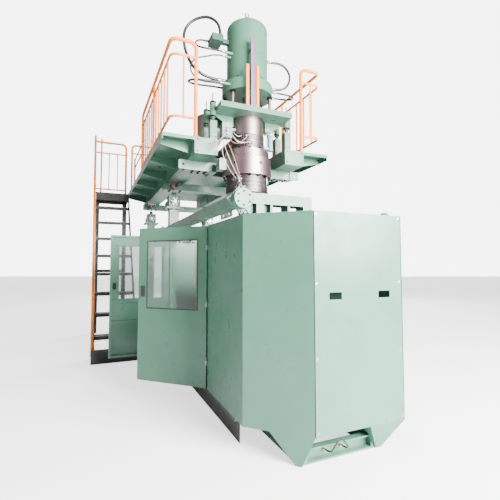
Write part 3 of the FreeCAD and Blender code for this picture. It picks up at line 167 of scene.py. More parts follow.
def spread(nodes, links, source, low, high):
    """A value that runs from low to high with a source of about 0.3 to 0.7."""
    node = nodes.new("ShaderNodeMapRange")
    node.inputs["From Min"].default_value = 0.3
    node.inputs["From Max"].default_value = 0.7
    node.inputs["To Min"].default_value = low
    node.inputs["To Max"].default_value = high
    links.new(source, node.inputs["Value"])
    return node.outputs["Result"]


def bump(nodes, links, source, strength, distance):
    node = nodes.new("ShaderNodeBump")
    node.inputs["Strength"].default_value = strength
    node.inputs["Distance"].default_value = distance
    links.new(source, node.inputs["Height"])
    return node.outputs["Normal"]


def tinted(tint, factor):
    return tuple(min(1.0, channel * factor) for channel in tint)


def enamel(name, tint, roughness, wear=0.12, coat=0.10):
    """Sprayed paint: slow colour drift, faint orange peel, uneven gloss."""
    material, nodes, links = new_material(name)
    shader = nodes["Principled BSDF"]
    drift = noise(nodes, links, 1.7, 3.0)
    fine = noise(nodes, links, 140.0, 2.0)
    blotch = noise(nodes, links, 9.0, 6.0)
    tint_out = ramp(nodes, links, drift, [(0.3, tinted(tint, 1 - wear)), (0.7, tinted(tint, 1 + wear * 0.6))])
    links.new(tint_out, shader.inputs["Base Color"])
    links.new(spread(nodes, links, blotch, roughness * 0.8, roughness * 1.3), shader.inputs["Roughness"])
    links.new(bump(nodes, links, fine, 0.05, 0.002), shader.inputs["Normal"])
    shader.inputs["Coat Weight"].default_value = coat
    shader.inputs["Coat Roughness"].default_value = 0.12
    shader.inputs["Specular IOR Level"].default_value = 0.3
    return material


def metal(name, tint, roughness, stretch=(1, 1, 30), wear=0.15, strength=0.12):
    """Bare metal with fine marks along one direction."""
    material, nodes, links = new_material(name)
    shader = nodes["Principled BSDF"]
    marks = noise(nodes, links, 60.0, 3.0, stretch)
    stain = noise(nodes, links, 5.0, 5.0)
    tint_out = ramp(nodes, links, stain, [(0.35, tinted(tint, 1 - wear)), (0.65, tint)])
    links.new(tint_out, shader.inputs["Base Color"])
    links.new(spread(nodes, links, marks, roughness * 0.75, roughness * 1.3), shader.inputs["Roughness"])
    links.new(bump(nodes, links, marks, strength, 0.0008), shader.inputs["Normal"])
    shader.inputs["Metallic"].default_value = 1.0
    return material


def rubbery(name, tint, roughness=0.5, strength=0.15):
    """Rubber or plastic with a fine grain."""
    material, nodes, links = new_material(name)
    shader = nodes["Principled BSDF"]
    grain = noise(nodes, links, 220.0, 2.0)
    patch = noise(nodes, links, 12.0, 4.0)
    tint_out = ramp(nodes, links, patch, [(0.35, tinted(tint, 0.8)), (0.7, tinted(tint, 1.15))])
    links.new(tint_out, shader.inputs["Base Color"])
    links.new(spread(nodes, links, patch, roughness * 0.85, roughness * 1.2), shader.inputs["Roughness"])
    links.new(bump(nodes, links, grain, strength, 0.001), shader.inputs["Normal"])
    return material


def clear(name, tint):
    """Clear sheet with faint smears."""
    material, nodes, links = new_material(name)
    shader = nodes["Principled BSDF"]
    smear = noise(nodes, links, 6.0, 5.0, (1, 1, 3))
    tint_out = ramp(nodes, links, smear, [(0.3, tint), (0.7, tinted(tint, 1.06))])
    links.new(tint_out, shader.inputs["Base Color"])
    links.new(spread(nodes, links, smear, 0.02, 0.09), shader.inputs["Roughness"])
    shader.inputs["Transmission Weight"].default_value = 0.96
    shader.inputs["IOR"].default_value = 1.45
    return material


def build_materials(paint):
    """Every finish, by the name of its slot in the record or of the piece that needs it."""
    rough = paint.roughness
    return {
        "mint_paint": enamel("mint_paint", tuple(paint.mint), rough),
        "dark_green_paint": enamel("dark_green_paint", tuple(paint.shade), rough * 1.2),
        # dark_paint is the stair's own dark paint, and on the skirting also painted shade: it darkens the
        # green ledges under the covers.
        "dark_paint": enamel("dark_paint", tuple(paint.dark), 0.5, 0.25, 0.1),
        "orange_paint": enamel("orange_paint", tuple(paint.orange), 0.3, 0.18),
        "purple_scale": enamel("purple_scale", tuple(paint.purple), 0.4, 0.1),
        "machined_steel": metal("machined_steel", (0.30, 0.215, 0.215), 0.36),
        "chromed_rod": metal("chromed_rod", (0.50, 0.50, 0.51), 0.10, (1, 1, 4), 0.05, 0.03),
        "ground_rail": metal("ground_rail", (0.28, 0.29, 0.30), 0.28, (1, 30, 1)),
        "clear_pane": clear("clear_pane", (0.80, 0.90, 0.86)),
        "galvanised": metal("galvanised", (0.30, 0.31, 0.32), 0.48, (1, 1, 1), 0.25),
        "black_hose": rubbery("black_hose", (0.016, 0.016, 0.018), 0.42),
        "heater_band": metal("heater_band", (0.13, 0.115, 0.115), 0.42, (1, 1, 12), 0.3),
        "bright_bolt": metal("bright_bolt", (0.36, 0.35, 0.34), 0.30, (1, 1, 1), 0.2),
        "black_oxide": metal("black_oxide", (0.035, 0.035, 0.038), 0.45, (1, 1, 1), 0.3),
        "white_wire": rubbery("white_wire", (0.50, 0.49, 0.46), 0.45),
        "pink_wire": rubbery("pink_wire", (0.48, 0.22, 0.18), 0.45),
        "orange_hose": rubbery("orange_hose", (0.50, 0.13, 0.05), 0.38),
        "grey_box": enamel("grey_box", (0.16, 0.22, 0.20), 0.42, 0.1),
        "blue_paint": enamel("blue_paint", (0.14, 0.30, 0.38), 0.35, 0.1),
        "black_plastic": rubbery("black_plastic", (0.022, 0.022, 0.024), 0.5),
        "brass": metal("brass", (0.62, 0.44, 0.16), 0.28, (1, 1, 1), 0.15),
        "seal_rubber": rubbery("seal_rubber", (0.02, 0.02, 0.021), 0.65),
    }


FINISH = {}


# ---- shapes ----


def facing(axis, spot):
    """A matrix that puts local Z along axis at spot."""
    turn = Vector(axis).to_track_quat("Z", "Y").to_matrix().to_4x4()
    return Matrix.Translation(Vector(spot)) @ turn


def add_drum(bm, spot, axis, radius, height, top=None, segments=32):
    """A cylinder or cone that starts at spot and runs along axis."""
    top = radius if top is None else top
    middle = Vector(spot) + Vector(axis).normalized() * height / 2
    bmesh.ops.create_cone(
        bm,
        cap_ends=True,
        segments=segments,
        radius1=radius,
        radius2=top,
        depth=height,
        matrix=facing(axis, middle),
    )


def add_block(bm, low, high, turn=None):
    """A box between two corners, turned about its middle by a matrix if one is given."""
    low, high = Vector(low), Vector(high)
    scale = Matrix.Diagonal((*(high - low), 1))
    matrix = Matrix.Translation((low + high) / 2) @ (turn or Matrix.Identity(4)) @ scale
    bmesh.ops.create_cube(bm, size=1, matrix=matrix)


def add_lathe(bm, spot, axis, outline, segments=48):
    """A closed outline of (radius, height) turned about axis through spot."""
    matrix = facing(axis, spot)
    rings = []
    for radius, height in outline:
        ring = []
        for i in range(segments):
            angle = 2 * math.pi * i / segments
            local = Vector((radius * math.cos(angle), radius * math.sin(angle), height))
            ring.append(bm.verts.new(matrix @ local))
        rings.append(ring)
    for a, b in zip(rings, rings[1:] + rings[:1]):
        for i in range(segments):
            k = (i + 1) % segments
            bm.faces.new((a[i], a[k], b[k], b[i]))


def add_bolt(bm, spot, axis, across, washer=True):
    """A hexagon head with a chamfered top on a washer, all in shares of its width across flats."""
    axis = Vector(axis).normalized()
    spot = Vector(spot)
    corner = across / math.sqrt(3)
    flats, chamfer, dot = across * 0.42, across * 0.12, across * 0.1
    if washer:
        add_drum(bm, spot, axis, corner * 1.35, chamfer, segments=20)
        spot = spot + axis * chamfer
    add_drum(bm, spot, axis, corner, flats, segments=6)
    add_drum(bm, spot + axis * flats, axis, corner, chamfer, corner * 0.8, segments=6)
    add_drum(bm, spot + axis * (flats + chamfer), axis, corner * 0.36, dot, segments=12)


def add_socket_screw(bm, spot, axis, radius, height):
    """A round socket head with a rim and a recess."""
    wall, floor = radius * 0.5, height * 0.45
    outline = [
        (0.0001, 0),
        (radius, 0),
        (radius, height * 0.9),
        (radius * 0.9, height),
        (wall, height),
        (wall, floor),
        (0.0001, floor),
    ]
    add_lathe(bm, spot, axis, outline, 20)


def around(radius, count, start=0.0):
    """Points round a circle as (x, y, angle)."""
    for i in range(count):
        angle = math.radians(start) + 2 * math.pi * i / count
        yield radius * math.cos(angle), radius * math.sin(angle), angle


def piece(name, bm, body, finish, bevel=0.0):
    """Turns a bmesh into a shown piece that rides a body."""
    bmesh.ops.recalc_face_normals(bm, faces=bm.faces)
    mesh = bpy.data.meshes.new(name)
    bm.to_mesh(mesh)
    bm.free()
    mesh.polygons.foreach_set("use_smooth", [True] * len(mesh.polygons))
    mesh.set_sharp_from_angle(angle=math.radians(35))
    item = bpy.data.objects.new(name, mesh)
    bpy.context.scene.collection.objects.link(item)
    mesh.materials.append(FINISH[finish])
    if bevel:
        edge = item.modifiers.new("edge", "BEVEL")
        edge.width = bevel
        edge.segments = 2
        edge.limit_method = "ANGLE"
        edge.angle_limit = math.radians(40)
    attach(item, body)
    return item


def line_piece(name, points, radius, body, finish):
    """A round hose or wire as a smooth curve along points."""
    curve = bpy.data.curves.new(name, "CURVE")
    curve.dimensions = "3D"
    curve.bevel_depth = radius
    curve.bevel_resolution = 4
    curve.use_fill_caps = True
    curve.resolution_u = 10
    spline = curve.splines.new("NURBS")
    spline.points.add(len(points) - 1)
    for point, spot in zip(spline.points, points):
        point.co = (*spot, 1)
    spline.order_u = 3
    spline.use_endpoint_u = True
    item = bpy.data.objects.new(name, curve)
    bpy.context.scene.collection.objects.link(item)
    curve.materials.append(FINISH[finish])
    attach(item, body)
    return item


def cord_piece(name, points, diameter, body, finish, node=None):
    """A free hose or wire along points, from one place on the machine to another."""
    item = line_piece(name, points, diameter / 2, body, finish)
    if node:
        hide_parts(node)
    return item


# ---- covers and doors ----

COVER_END, COVER_TOP = 2.030, 1.734
TRAY_X, TRAY_EDGE = (-0.362, 0.422), 0.017
SCREW_HEIGHTS = (1.71, 1.225, 0.715, 0.225)
HINGE = (-0.752, 0.790)
DOOR_OUTER = 0.012
DOOR_TURNS = {"front": math.radians(46), "rear": math.radians(-90)}
WINDOW_Y, WINDOW_Z = (0.110, 0.670), (0.930, 1.590)
PULL_Y, PULL_Z, PULL_RIM = (0.700, 0.748), (1.035, 1.145), 0.010
HINGE_FACE, HINGE_HEIGHTS = -0.743, (0.440, 0.980, 1.520)


def cover_screws(bolts):
    """Dished screws down both sides of each end tray."""
    bm = bmesh.new()
    for end in (-1, 1):
        face = end * COVER_END
        for x in (TRAY_X[0] + TRAY_EDGE, TRAY_X[1] - TRAY_EDGE):
            for z in SCREW_HEIGHTS:
                spot = Vector((x, face, z))
                add_drum(bm, spot, (0, end, 0), bolts.small * 0.85, 0.0008, bolts.small * 0.7, 20)
                add_socket_screw(bm, spot, (0, end, 0), bolts.small * 0.5, 0.0018)
    return piece("cover_screws", bm, "machine", "bright_bolt")


def breather():
    """A low domed vent on the front top cover."""
    bm = bmesh.new()
    spot = (0.355, -1.935, COVER_TOP - 0.003)
    outline = [(0.0001, 0), (0.042, 0), (0.042, 0.012), (0.036, 0.016)]
    outline += [(0.036 * math.cos(a), 0.016 + 0.022 * math.sin(a)) for a in (0.35, 0.7, 1.05, 1.35)]
    outline.append((0.0001, 0.038))
    add_lathe(bm, spot, UP, outline, 32)
    return piece("top_breather", bm, "machine", "mint_paint")


def door_frame_of(end):
    """The place of a door: local Y runs from the hinge to the free edge, local X inwards when shut."""
    word = "front" if end < 0 else "rear"
    return Matrix.Translation((HINGE[0], end * HINGE[1], 0)) @ Matrix.Rotation(DOOR_TURNS[word], 4, "Z")


def door_span(end, low, high):
    return (low, high) if end < 0 else (-high, -low)


def window_trim(end, word):
    """Rubber strip round the window on the outside and a bolted clamp frame on the inside."""
    place = door_frame_of(end)
    for name, low_x, high_x, width, finish in (
        ("window_seal", DOOR_OUTER - 0.003, DOOR_OUTER, 0.012, "seal_rubber"),
        ("window_clamp", DOOR_OUTER + 0.007, DOOR_OUTER + 0.010, 0.024, "mint_paint"),
    ):
        bm = bmesh.new()
        inner = 0.0 if name == "window_seal" else 0.002
        for low_y, high_y, low_z, high_z in (
            (WINDOW_Y[0] - width, WINDOW_Y[1] + width, WINDOW_Z[1] + inner, WINDOW_Z[1] + width),
            (WINDOW_Y[0] - width, WINDOW_Y[1] + width, WINDOW_Z[0] - width, WINDOW_Z[0] - inner),
            (WINDOW_Y[0] - width, WINDOW_Y[0] - inner, WINDOW_Z[0] - inner, WINDOW_Z[1] + inner),
            (WINDOW_Y[1] + inner, WINDOW_Y[1] + width, WINDOW_Z[0] - inner, WINDOW_Z[1] + inner),
        ):
            y = door_span(end, low_y, high_y)
            add_block(bm, (low_x, y[0], low_z), (high_x, y[1], high_z))
        bmesh.ops.transform(bm, matrix=place, verts=bm.verts)
        piece(f"{name}_{word}", bm, f"{word}_door", finish, 0.001)


def door_handle(end, word):
    """A dark recessed pull near the free edge: a rim, a sunk plate and a finger bar."""
    place = door_frame_of(end)
    bm = bmesh.new()
    (low, high), (bottom, top), rim = PULL_Y, PULL_Z, PULL_RIM
    plate = DOOR_OUTER - 0.0015
    for low_y, high_y, low_z, high_z in (
        (low, high, bottom, bottom + rim),
        (low, high, top - rim, top),
        (low, low + rim, bottom + rim, top - rim),
        (high - rim, high, bottom + rim, top - rim),
    ):
        y = door_span(end, low_y, high_y)
        add_block(bm, (DOOR_OUTER - 0.006, y[0], low_z), (DOOR_OUTER, y[1], high_z))
    y = door_span(end, low + rim, high - rim)
    add_block(bm, (plate, y[0], bottom + rim), (DOOR_OUTER, y[1], top - rim))
    y = door_span(end, low + 0.016, low + 0.026)
    add_block(bm, (DOOR_OUTER - 0.005, y[0], bottom + 0.012), (plate, y[1], top - 0.012))
    bmesh.ops.transform(bm, matrix=place, verts=bm.verts)
    return piece(f"door_handle_{word}", bm, f"{word}_door", "black_plastic", 0.0015)


def door_inside(end, word):
    """A stiffening rail and a latch keeper on the inner face of a door."""
    place = door_frame_of(end)
    bm = bmesh.new()
    for z in (0.62, 0.88):
        y = door_span(end, 0.036, 0.750)
        add_block(bm, (DOOR_OUTER + 0.003, y[0], z), (DOOR_OUTER + 0.022, y[1], z + 0.035))
    bmesh.ops.transform(bm, matrix=place, verts=bm.verts)
    piece(f"door_rails_{word}", bm, f"{word}_door", "mint_paint", 0.002)
    bm = bmesh.new()
    y = door_span(end, 0.706, 0.742)
    add_block(bm, (DOOR_OUTER + 0.004, y[0], 1.05), (DOOR_OUTER + 0.028, y[1], 1.13))
    bmesh.ops.transform(bm, matrix=place, verts=bm.verts)
    piece(f"door_latch_{word}", bm, f"{word}_door", "black_oxide", 0.002)


def hinge_screws(bolts):
    """Two screws through each hinge leaf."""
    bm = bmesh.new()
    for end in (-1, 1):
        for z in HINGE_HEIGHTS:
            for step in (0.025, 0.047):
                spot = (HINGE_FACE, end * (HINGE[1] + step), z)
                add_socket_screw(bm, spot, LEFT, bolts.small * 0.45, 0.003)
    return piece("hinge_screws", bm, "machine", "bright_bolt")


# ---- clamp ----

TIES = ((-0.740, 1.850), (0.484, 0.400))
FRAME_FACE, CLAMP_Z = 1.600, 0.880
SENSOR_HOLES, SENSOR_RADIUS = (-1.22, -1.08), 0.012
SHOE_MIDDLE = 0.390


def tie_bolts(bolts):
    """Screws in the corners of the square tie flanges and on the nut covers."""
    bm = bmesh.new()
    for x, z in TIES:
        for end in (-1, 1):
            for dx, dz, _ in around(0.094, 4):
                add_bolt(bm, (x + dx, end * (FRAME_FACE + 0.025), z + dz), (0, end, 0), bolts.small * 1.1)
            for dx, dz, _ in around(0.052, 6, 30):
                add_socket_screw(bm, (x + dx, end * (FRAME_FACE + 0.085), z + dz), (0, end, 0), 0.008, 0.008)
    return piece("tie_bolts", bm, "machine", "black_oxide")


def frame_bolts(bolts):
    """Bolts of the clamp cylinder flanges and of the top rail's end bracket."""
    bm = bmesh.new()
    for end in (-1, 1):
        for dx, dz, _ in around(0.105, 8, 22.5):
            add_bolt(bm, (dx, end * (FRAME_FACE + 0.030), CLAMP_Z + dz), (0, end, 0), bolts.medium * 0.8)
        for x in (-0.145, -0.115):
            for z in (1.72, 1.77):
                add_bolt(bm, (x, end * FRAME_FACE, z), (0, end, 0), bolts.small * 1.2)
    return piece("frame_bolts", bm, "machine", "black_oxide")


def anchor_bolts(bolts):
    """The four bolts that hold the bed to the floor."""
    bm = bmesh.new()
    for x in (-0.225, 0.225):
        for y in (-1.43, 1.43):
            add_bolt(bm, (x, y, 0.120), UP, bolts.large)
    return piece("anchor_bolts", bm, "machine", "galvanised")


def sensor_plate():
    """A pale plate with two holes, held under the upper tie bar for the limit switches."""
    bm = bmesh.new()
    low, high = Vector((-0.688, -1.30, 1.762)), Vector((-0.684, -1.00, 1.822))
    rim = SENSOR_RADIUS + 0.006
    collar = [(SENSOR_RADIUS, 0), (rim, 0), (rim, 0.007), (SENSOR_RADIUS, 0.007)]
    for y in SENSOR_HOLES:
        add_lathe(bm, (low.x, y, 1.792), RIGHT, collar, 24)
    strips = [(a, b, low.z, high.z) for a, b in ((low.y, -1.234), (-1.206, -1.094), (-1.066, high.y))]
    for y in SENSOR_HOLES:
        strips.append((y - 0.014, y + 0.014, low.z, 1.778))
        strips.append((y - 0.014, y + 0.014, 1.806, high.z))
    for near, far, bottom, top in strips:
        add_block(bm, (low.x, near, bottom), (high.x, far, top))
    add_block(bm, (-0.694, -1.17, 1.800), (-0.688, -1.13, 1.822))
    return piece("sensor_plate", bm, "machine", "white_wire", 0.0008)


def platen_fittings(end, word):
    """Cooling water manifolds with brass nipples on the door side of a platen."""
    bm = bmesh.new()
    y = (-0.50, -0.45) if end < 0 else (0.55, 0.60)
    add_block(bm, (-0.465, y[0], 0.60), (-0.430, y[1], 1.20))
    piece(f"water_manifold_{word}", bm, f"{word}_clamp", "mint_paint", 0.003)
    bm = bmesh.new()
    middle = (y[0] + y[1]) / 2
    for i in range(6):
        spot = Vector((-0.465, middle, 0.65 + 0.1 * i))
        add_drum(bm, spot, LEFT, 0.013, 0.010, segments=6)
        add_drum(bm, spot + Vector((-0.010, 0, 0)), LEFT, 0.008, 0.022, 0.006, 16)
    piece(f"water_nipples_{word}", bm, f"{word}_clamp", "brass")


def rail_wipers(end, word):
    """Rubber wipers on both ends of the platen shoes."""
    bm = bmesh.new()
    for y in (-0.610, -0.420):
        out = -0.006 if y < -0.5 else 0.006
        low_y, high_y = sorted((end * -y, end * -(y + out)))
        for side in (-1, 1):
            middle = side * SHOE_MIDDLE
            for a, b in ((-0.040, -0.0188), (0.0188, 0.036)):
                add_block(bm, (middle + a, low_y, 0.342), (middle + b, high_y, 0.405))
    return piece(f"rail_wipers_{word}", bm, f"{word}_clamp", "seal_rubber", 0.001)


# ---- jacks ----

JACKS = [(x, y) for x in (-0.618, 0.618) for y in (1.390, 3.620)]
JACK_TOP, JACK_AXIS, JACK_HALF = 2.210, 2.305, 0.085
MOTOR_RADIUS, FIN_RADIUS, COWL_RADIUS = 0.0682, 0.0745, 0.0765
MOTOR_FIN = [(MOTOR_RADIUS, 0), (FIN_RADIUS, 0), (FIN_RADIUS, 0.004), (MOTOR_RADIUS, 0.004)]
MOTOR_COWL = [
    (MOTOR_RADIUS, 0),
    (COWL_RADIUS, 0),
    (COWL_RADIUS, 0.060),
    (0.072, 0.066),
    (0.020, 0.066),
    (0.020, 0.062),
    (MOTOR_RADIUS, 0.062),
]


def jack_fittings(bolts):
    """Flange bolts, cover screws, motor fins, fan covers and terminal boxes of the four jacks."""
    fixings, fins, boxes, glands = (bmesh.new() for _ in range(4))
    for x, y in JACKS:
        for dx, dy, _ in around(0.158, 4, 45):
            add_bolt(fixings, (x + dx, y + dy, JACK_TOP), UP, bolts.medium)
            add_bolt(fixings, (x + dx, y + dy, JACK_TOP - 0.020), DOWN, bolts.medium)
        cover, motor = y - JACK_HALF - 0.028, y + JACK_HALF
        for dx, dz, _ in around(0.050, 6):
            add_bolt(fixings, (x + dx, cover, JACK_AXIS + dz), NEAR, bolts.small * 1.1)
        add_drum(fixings, (x, cover, JACK_AXIS), NEAR, 0.030, 0.006, 0.027)
        for i in range(9):
            add_lathe(fins, (x, motor + 0.040 + 0.013 * i, JACK_AXIS), AWAY, MOTOR_FIN, 40)
        add_lathe(fins, (x, motor + 0.170, JACK_AXIS), AWAY, MOTOR_COWL, 40)
        for half, near, far, low, high in (
            (0.040, 0.055, 0.135, 0.066, 0.112),
            (0.043, 0.052, 0.138, 0.112, 0.118),
        ):
            corner = (x - half, motor + near, JACK_AXIS + low)
            add_block(boxes, corner, (x + half, motor + far, JACK_AXIS + high))
        add_drum(glands, (x - 0.040, motor + 0.095, JACK_AXIS + 0.090), LEFT, 0.011, 0.016, 0.009, 20)
    piece("jack_bolts", fixings, "machine", "bright_bolt")
    piece("jack_motor_fins", fins, "machine", "mint_paint")
    piece("jack_terminal_boxes", boxes, "machine", "dark_green_paint", 0.002)
    piece("jack_cable_glands", glands, "machine", "black_plastic")


def jack_covers():
    """Grease nipples and sight plugs on the jack gearboxes, and seals round their screws."""
    bm = bmesh.new()
    for x, y in JACKS:
        outline = [(0.0165, 0), (0.036, 0), (0.030, 0.012), (0.0165, 0.014)]
        add_lathe(bm, (x, y, JACK_TOP + 0.230), UP, outline, 32)
    piece("jack_screw_seals", bm, "machine", "seal_rubber")
    bm = bmesh.new()
    for x, y in JACKS:
        out = -1 if x < 0 else 1
        add_drum(bm, (x + out * JACK_HALF, y + 0.03, JACK_TOP + 0.04), (out, 0, 0), 0.010, 0.008, segments=6)
        add_drum(bm, (x + out * JACK_HALF, y - 0.03, JACK_TOP + 0.15), (out, 0, 0), 0.013, 0.006, 0.011, 24)
    piece("jack_plugs", bm, "machine", "brass")


# ---- platform and stair ----

DECK, GIRDER_UNDER = 2.805, 2.507
GUARD = 0.985
DECK_EDGE, GIRDER_INNER = (0.66, 1.07), 0.445
FOOT_BORE, FOOT_RADIUS, FOOT_NECK, FOOT_SCREWS = 0.0215, 0.0395, 0.028, 0.0335
STUD_PITCH = 0.053
TREAD_X, TREAD_RUN, TREAD_RISE = (-1.672, -1.106), 0.211, 0.3056
TREAD_RIBS = [(0.006 + 0.013 * k, 0.0025) for k in range(4)] + [(0.150, 0.0018)]
GUARD_FEET = (
    [(-0.700, -0.150), (-GUARD, 1.050), (-GUARD, 2.250), (-GUARD, 3.390), (0.700, -0.150)]
    + [(GUARD, -0.150 + 4.110 * i / 4) for i in (1, 2, 3)]
    + [(0.0, 3.960), (-GUARD, 3.960)]
)


def guard_feet(bolts):
    """Round base flanges with screws where the guard rail posts meet the deck."""
    feet, screws = bmesh.new(), bmesh.new()
    outline = [
        (FOOT_BORE, 0),
        (FOOT_RADIUS, 0),
        (FOOT_RADIUS, 0.006),
        (FOOT_NECK, 0.010),
        (FOOT_NECK, 0.020),
        (FOOT_BORE, 0.022),
    ]
    for x, y in GUARD_FEET:
        add_lathe(feet, (x, y, DECK), UP, outline, 32)
        for dx, dy, _ in around(FOOT_SCREWS, 4, 45):
            if DECK_EDGE[0] < abs(x + dx) < DECK_EDGE[1] or abs(x) < 0.1:
                add_bolt(screws, (x + dx, y + dy, DECK + 0.006), UP, bolts.small * 0.8, False)
    piece("guard_feet", feet, "platform", "orange_paint")
    piece("guard_foot_screws", screws, "platform", "bright_bolt")


def girder_fittings(bolts):
    """Bolts through the carrier arms and lift beams, stiffener ribs and end-plate screws on the girders."""
    fixings, ribs = bmesh.new(), bmesh.new()
    for side in (-1, 1):
        for x in (0.480, 0.560, 0.640):
            for y in (0.180, 0.258):
                add_bolt(fixings, (side * x, y, GIRDER_UNDER), DOWN, bolts.medium)
        for x in (0.500, 0.660):
            for y in (1.475, 1.565, 3.705, 3.795):
                add_bolt(fixings, (side * x, y, GIRDER_UNDER), DOWN, bolts.medium)
        for x in (0.475, 0.685):
            for z in (2.645, 2.777):
                add_bolt(fixings, (side * x, -0.180, z), NEAR, bolts.small)
        for i in range(7):
            y = 0.62 + 0.5 * i
            inner = sorted((side * GIRDER_INNER, side * (GIRDER_INNER - 0.008)))
            add_block(ribs, (inner[0], y, 2.625), (inner[1], y + 0.008, 2.795))
    piece("girder_bolts", fixings, "platform", "black_oxide")
    piece("girder_ribs", ribs, "platform", "mint_paint", 0.001)


def jack_plate_bolts(bolts):
    """Bolts that hold the screws' end plates up to the girders."""
    bm = bmesh.new()
    for x, y in JACKS:
        for dx in (-0.065, 0.065):
            for dy in (-0.035, 0.035):
                add_bolt(bm, (x + dx, y + dy, 2.587), DOWN, bolts.medium)
    return piece("jack_plate_bolts", bm, "platform", "bright_bolt")


def deck_studs():
    """Raised tear-drop studs of the walkway plates, in rows across each walkway."""
    bm = bmesh.new()
    for side in (-1, 1):
        for row in range(78):
            y = -0.14 + STUD_PITCH * row
            for k in range(6):
                x = side * (0.745 + STUD_PITCH * k)
                if abs(abs(x) - GUARD) < 0.05:
                    continue
                turn = Matrix.Rotation(math.radians(45 if (row + k) % 2 else -45), 4, "Z")
                low = (x - 0.015, y - 0.0035, DECK)
                add_block(bm, low, (x + 0.015, y + 0.0035, DECK + 0.0016), turn)
    return piece("deck_studs", bm, "platform", "mint_paint")


def stair_fittings(bolts):
    """Ribbed nosings on the treads and the bolts that hold the treads to the stringers."""
    nosings, fixings = bmesh.new(), bmesh.new()
    for i in range(1, 9):
        y, z = 1.500 + TREAD_RUN * i, TREAD_RISE * i
        for step, height in TREAD_RIBS:
            add_block(nosings, (TREAD_X[0], y + step, z), (TREAD_X[1], y + step + 0.007, z + height))
        for k in (0.055, 0.150):
            add_bolt(fixings, (-1.690, y + k, z - 0.015), LEFT, bolts.small * 1.2)
            add_bolt(fixings, (-1.088, y + k, z - 0.015), RIGHT, bolts.small * 1.2, False)
    piece("tread_nosings", nosings, "machine", "galvanised")
    piece("tread_bolts", fixings, "machine", "bright_bolt")


# ---- die head ----


def add_band(bm, radius, low, high, thick=0.007):
    """A heater band round the head, with a rolled edge at the top and bottom."""
    edge = thick * 0.5
    outline = [
        (radius, low),
        (radius + thick, low),
        (radius + thick, low + 0.006),
        (radius + edge, low + 0.009),
        (radius + edge, high - 0.009),
        (radius + thick, high - 0.006),
        (radius + thick, high),
        (radius, high),
    ]
    add_lathe(bm, CENTRE, UP, outline, 72)


BANDS = (
    (0.2072, 2.775, 2.845),
    (0.2072, 2.858, 2.928),
    (0.2552, 2.240, 2.300),
    (0.2552, 2.335, 2.395),
    (0.1502, 2.160, 2.212),
)


def heater_bands():
    """Band heaters round the upper body, the lower body and the die."""
    bm = bmesh.new()
    for radius, low, high in BANDS:
        add_band(bm, radius, low, high)
    return piece("heater_bands", bm, "platform", "heater_band")


def band_clamps():
    """The clamp screws that pull each band tight, and its ceramic terminal caps."""
    lugs, caps = bmesh.new(), bmesh.new()
    for number, (radius, low, high) in enumerate(BANDS):
        height = (low + high) / 2
        angle = math.radians(-118 - 9 * number)
        out = Vector((math.cos(angle), math.sin(angle), 0))
        side = Vector((-out.y, out.x, 0))
        turn = Matrix.Rotation(angle, 4, "Z")
        for shift in (-0.012, 0.012):
            spot = out * (radius + 0.016) + side * shift
            reach = Vector((0.010, 0.003, (high - low) * 0.42))
            middle = Vector((spot.x, spot.y, height))
            add_block(lugs, middle - reach, middle + reach, turn)
        start = out * (radius + 0.018) - side * 0.028
        add_drum(lugs, (start.x, start.y, height), side, 0.004, 0.056, segments=16)
        add_drum(lugs, (start.x, start.y, height), -side, 0.009, 0.008, segments=6)
        for shift in (0.055, 0.085):
            spot = out * (radius + 0.006) + side * shift
            add_drum(caps, (spot.x, spot.y, height), out, 0.010, 0.022, 0.008, 20)
    piece("band_clamps", lugs, "platform", "bright_bolt")
    piece("band_terminals", caps, "platform", "white_wire")


def ring_bolts(bolts):
    """Large screws in the rings, the underside of the dark band and round the die."""
    bm = bmesh.new()
    for x, y, _ in around(0.240, 12, 15):
        add_bolt(bm, (x, y, 2.738), UP, bolts.large * 0.9)
    for x, y, _ in around(0.285, 24):
        add_socket_screw(bm, (x, y, 2.644), UP, 0.010, 0.012)
    for x, y, _ in around(0.282, 16, 8):
        add_bolt(bm, (x, y, 2.423), DOWN, bolts.medium)
    for x, y, angle in around(0.255, 8, 22.5):
        add_socket_screw(bm, (x, y, 2.232), (math.cos(angle), math.sin(angle), 0), 0.006, 0.010)
    for x, y, _ in around(0.128, 10, 18):
        add_socket_screw(bm, (x, y, 2.151), DOWN, 0.008, 0.009)
    for x, y, angle in around(0.300, 6, 40):
        add_drum(bm, (x, y, 2.56), (math.cos(angle), math.sin(angle), 0), 0.019, 0.004, 0.017, 24)
    return piece("head_bolts", bm, "platform", "black_oxide")


def lower_hinges():
    """Two bolted hinge clamps on the outside of the lower body."""
    blocks, pins = bmesh.new(), bmesh.new()
    for degrees in (-132, -52):
        angle = math.radians(degrees)
        out = Vector((math.cos(angle), math.sin(angle), 0))
        turn = Matrix.Rotation(angle, 4, "Z")
        for low, high in ((2.305, 2.330), (2.396, 2.420)):
            spot = out * 0.268
            middle = Vector((spot.x, spot.y, (low + high) / 2))
            reach = Vector((0.016, 0.022, (high - low) / 2))
            add_block(blocks, middle - reach, middle + reach, turn)
        spot = out * 0.272
        add_drum(pins, (spot.x, spot.y, 2.298), UP, 0.007, 0.128, segments=20)
        add_drum(pins, (spot.x, spot.y, 2.292), UP, 0.012, 0.006, segments=6)
    piece("head_hinges", blocks, "platform", "machined_steel", 0.002)
    piece("head_hinge_pins", pins, "platform", "bright_bolt")


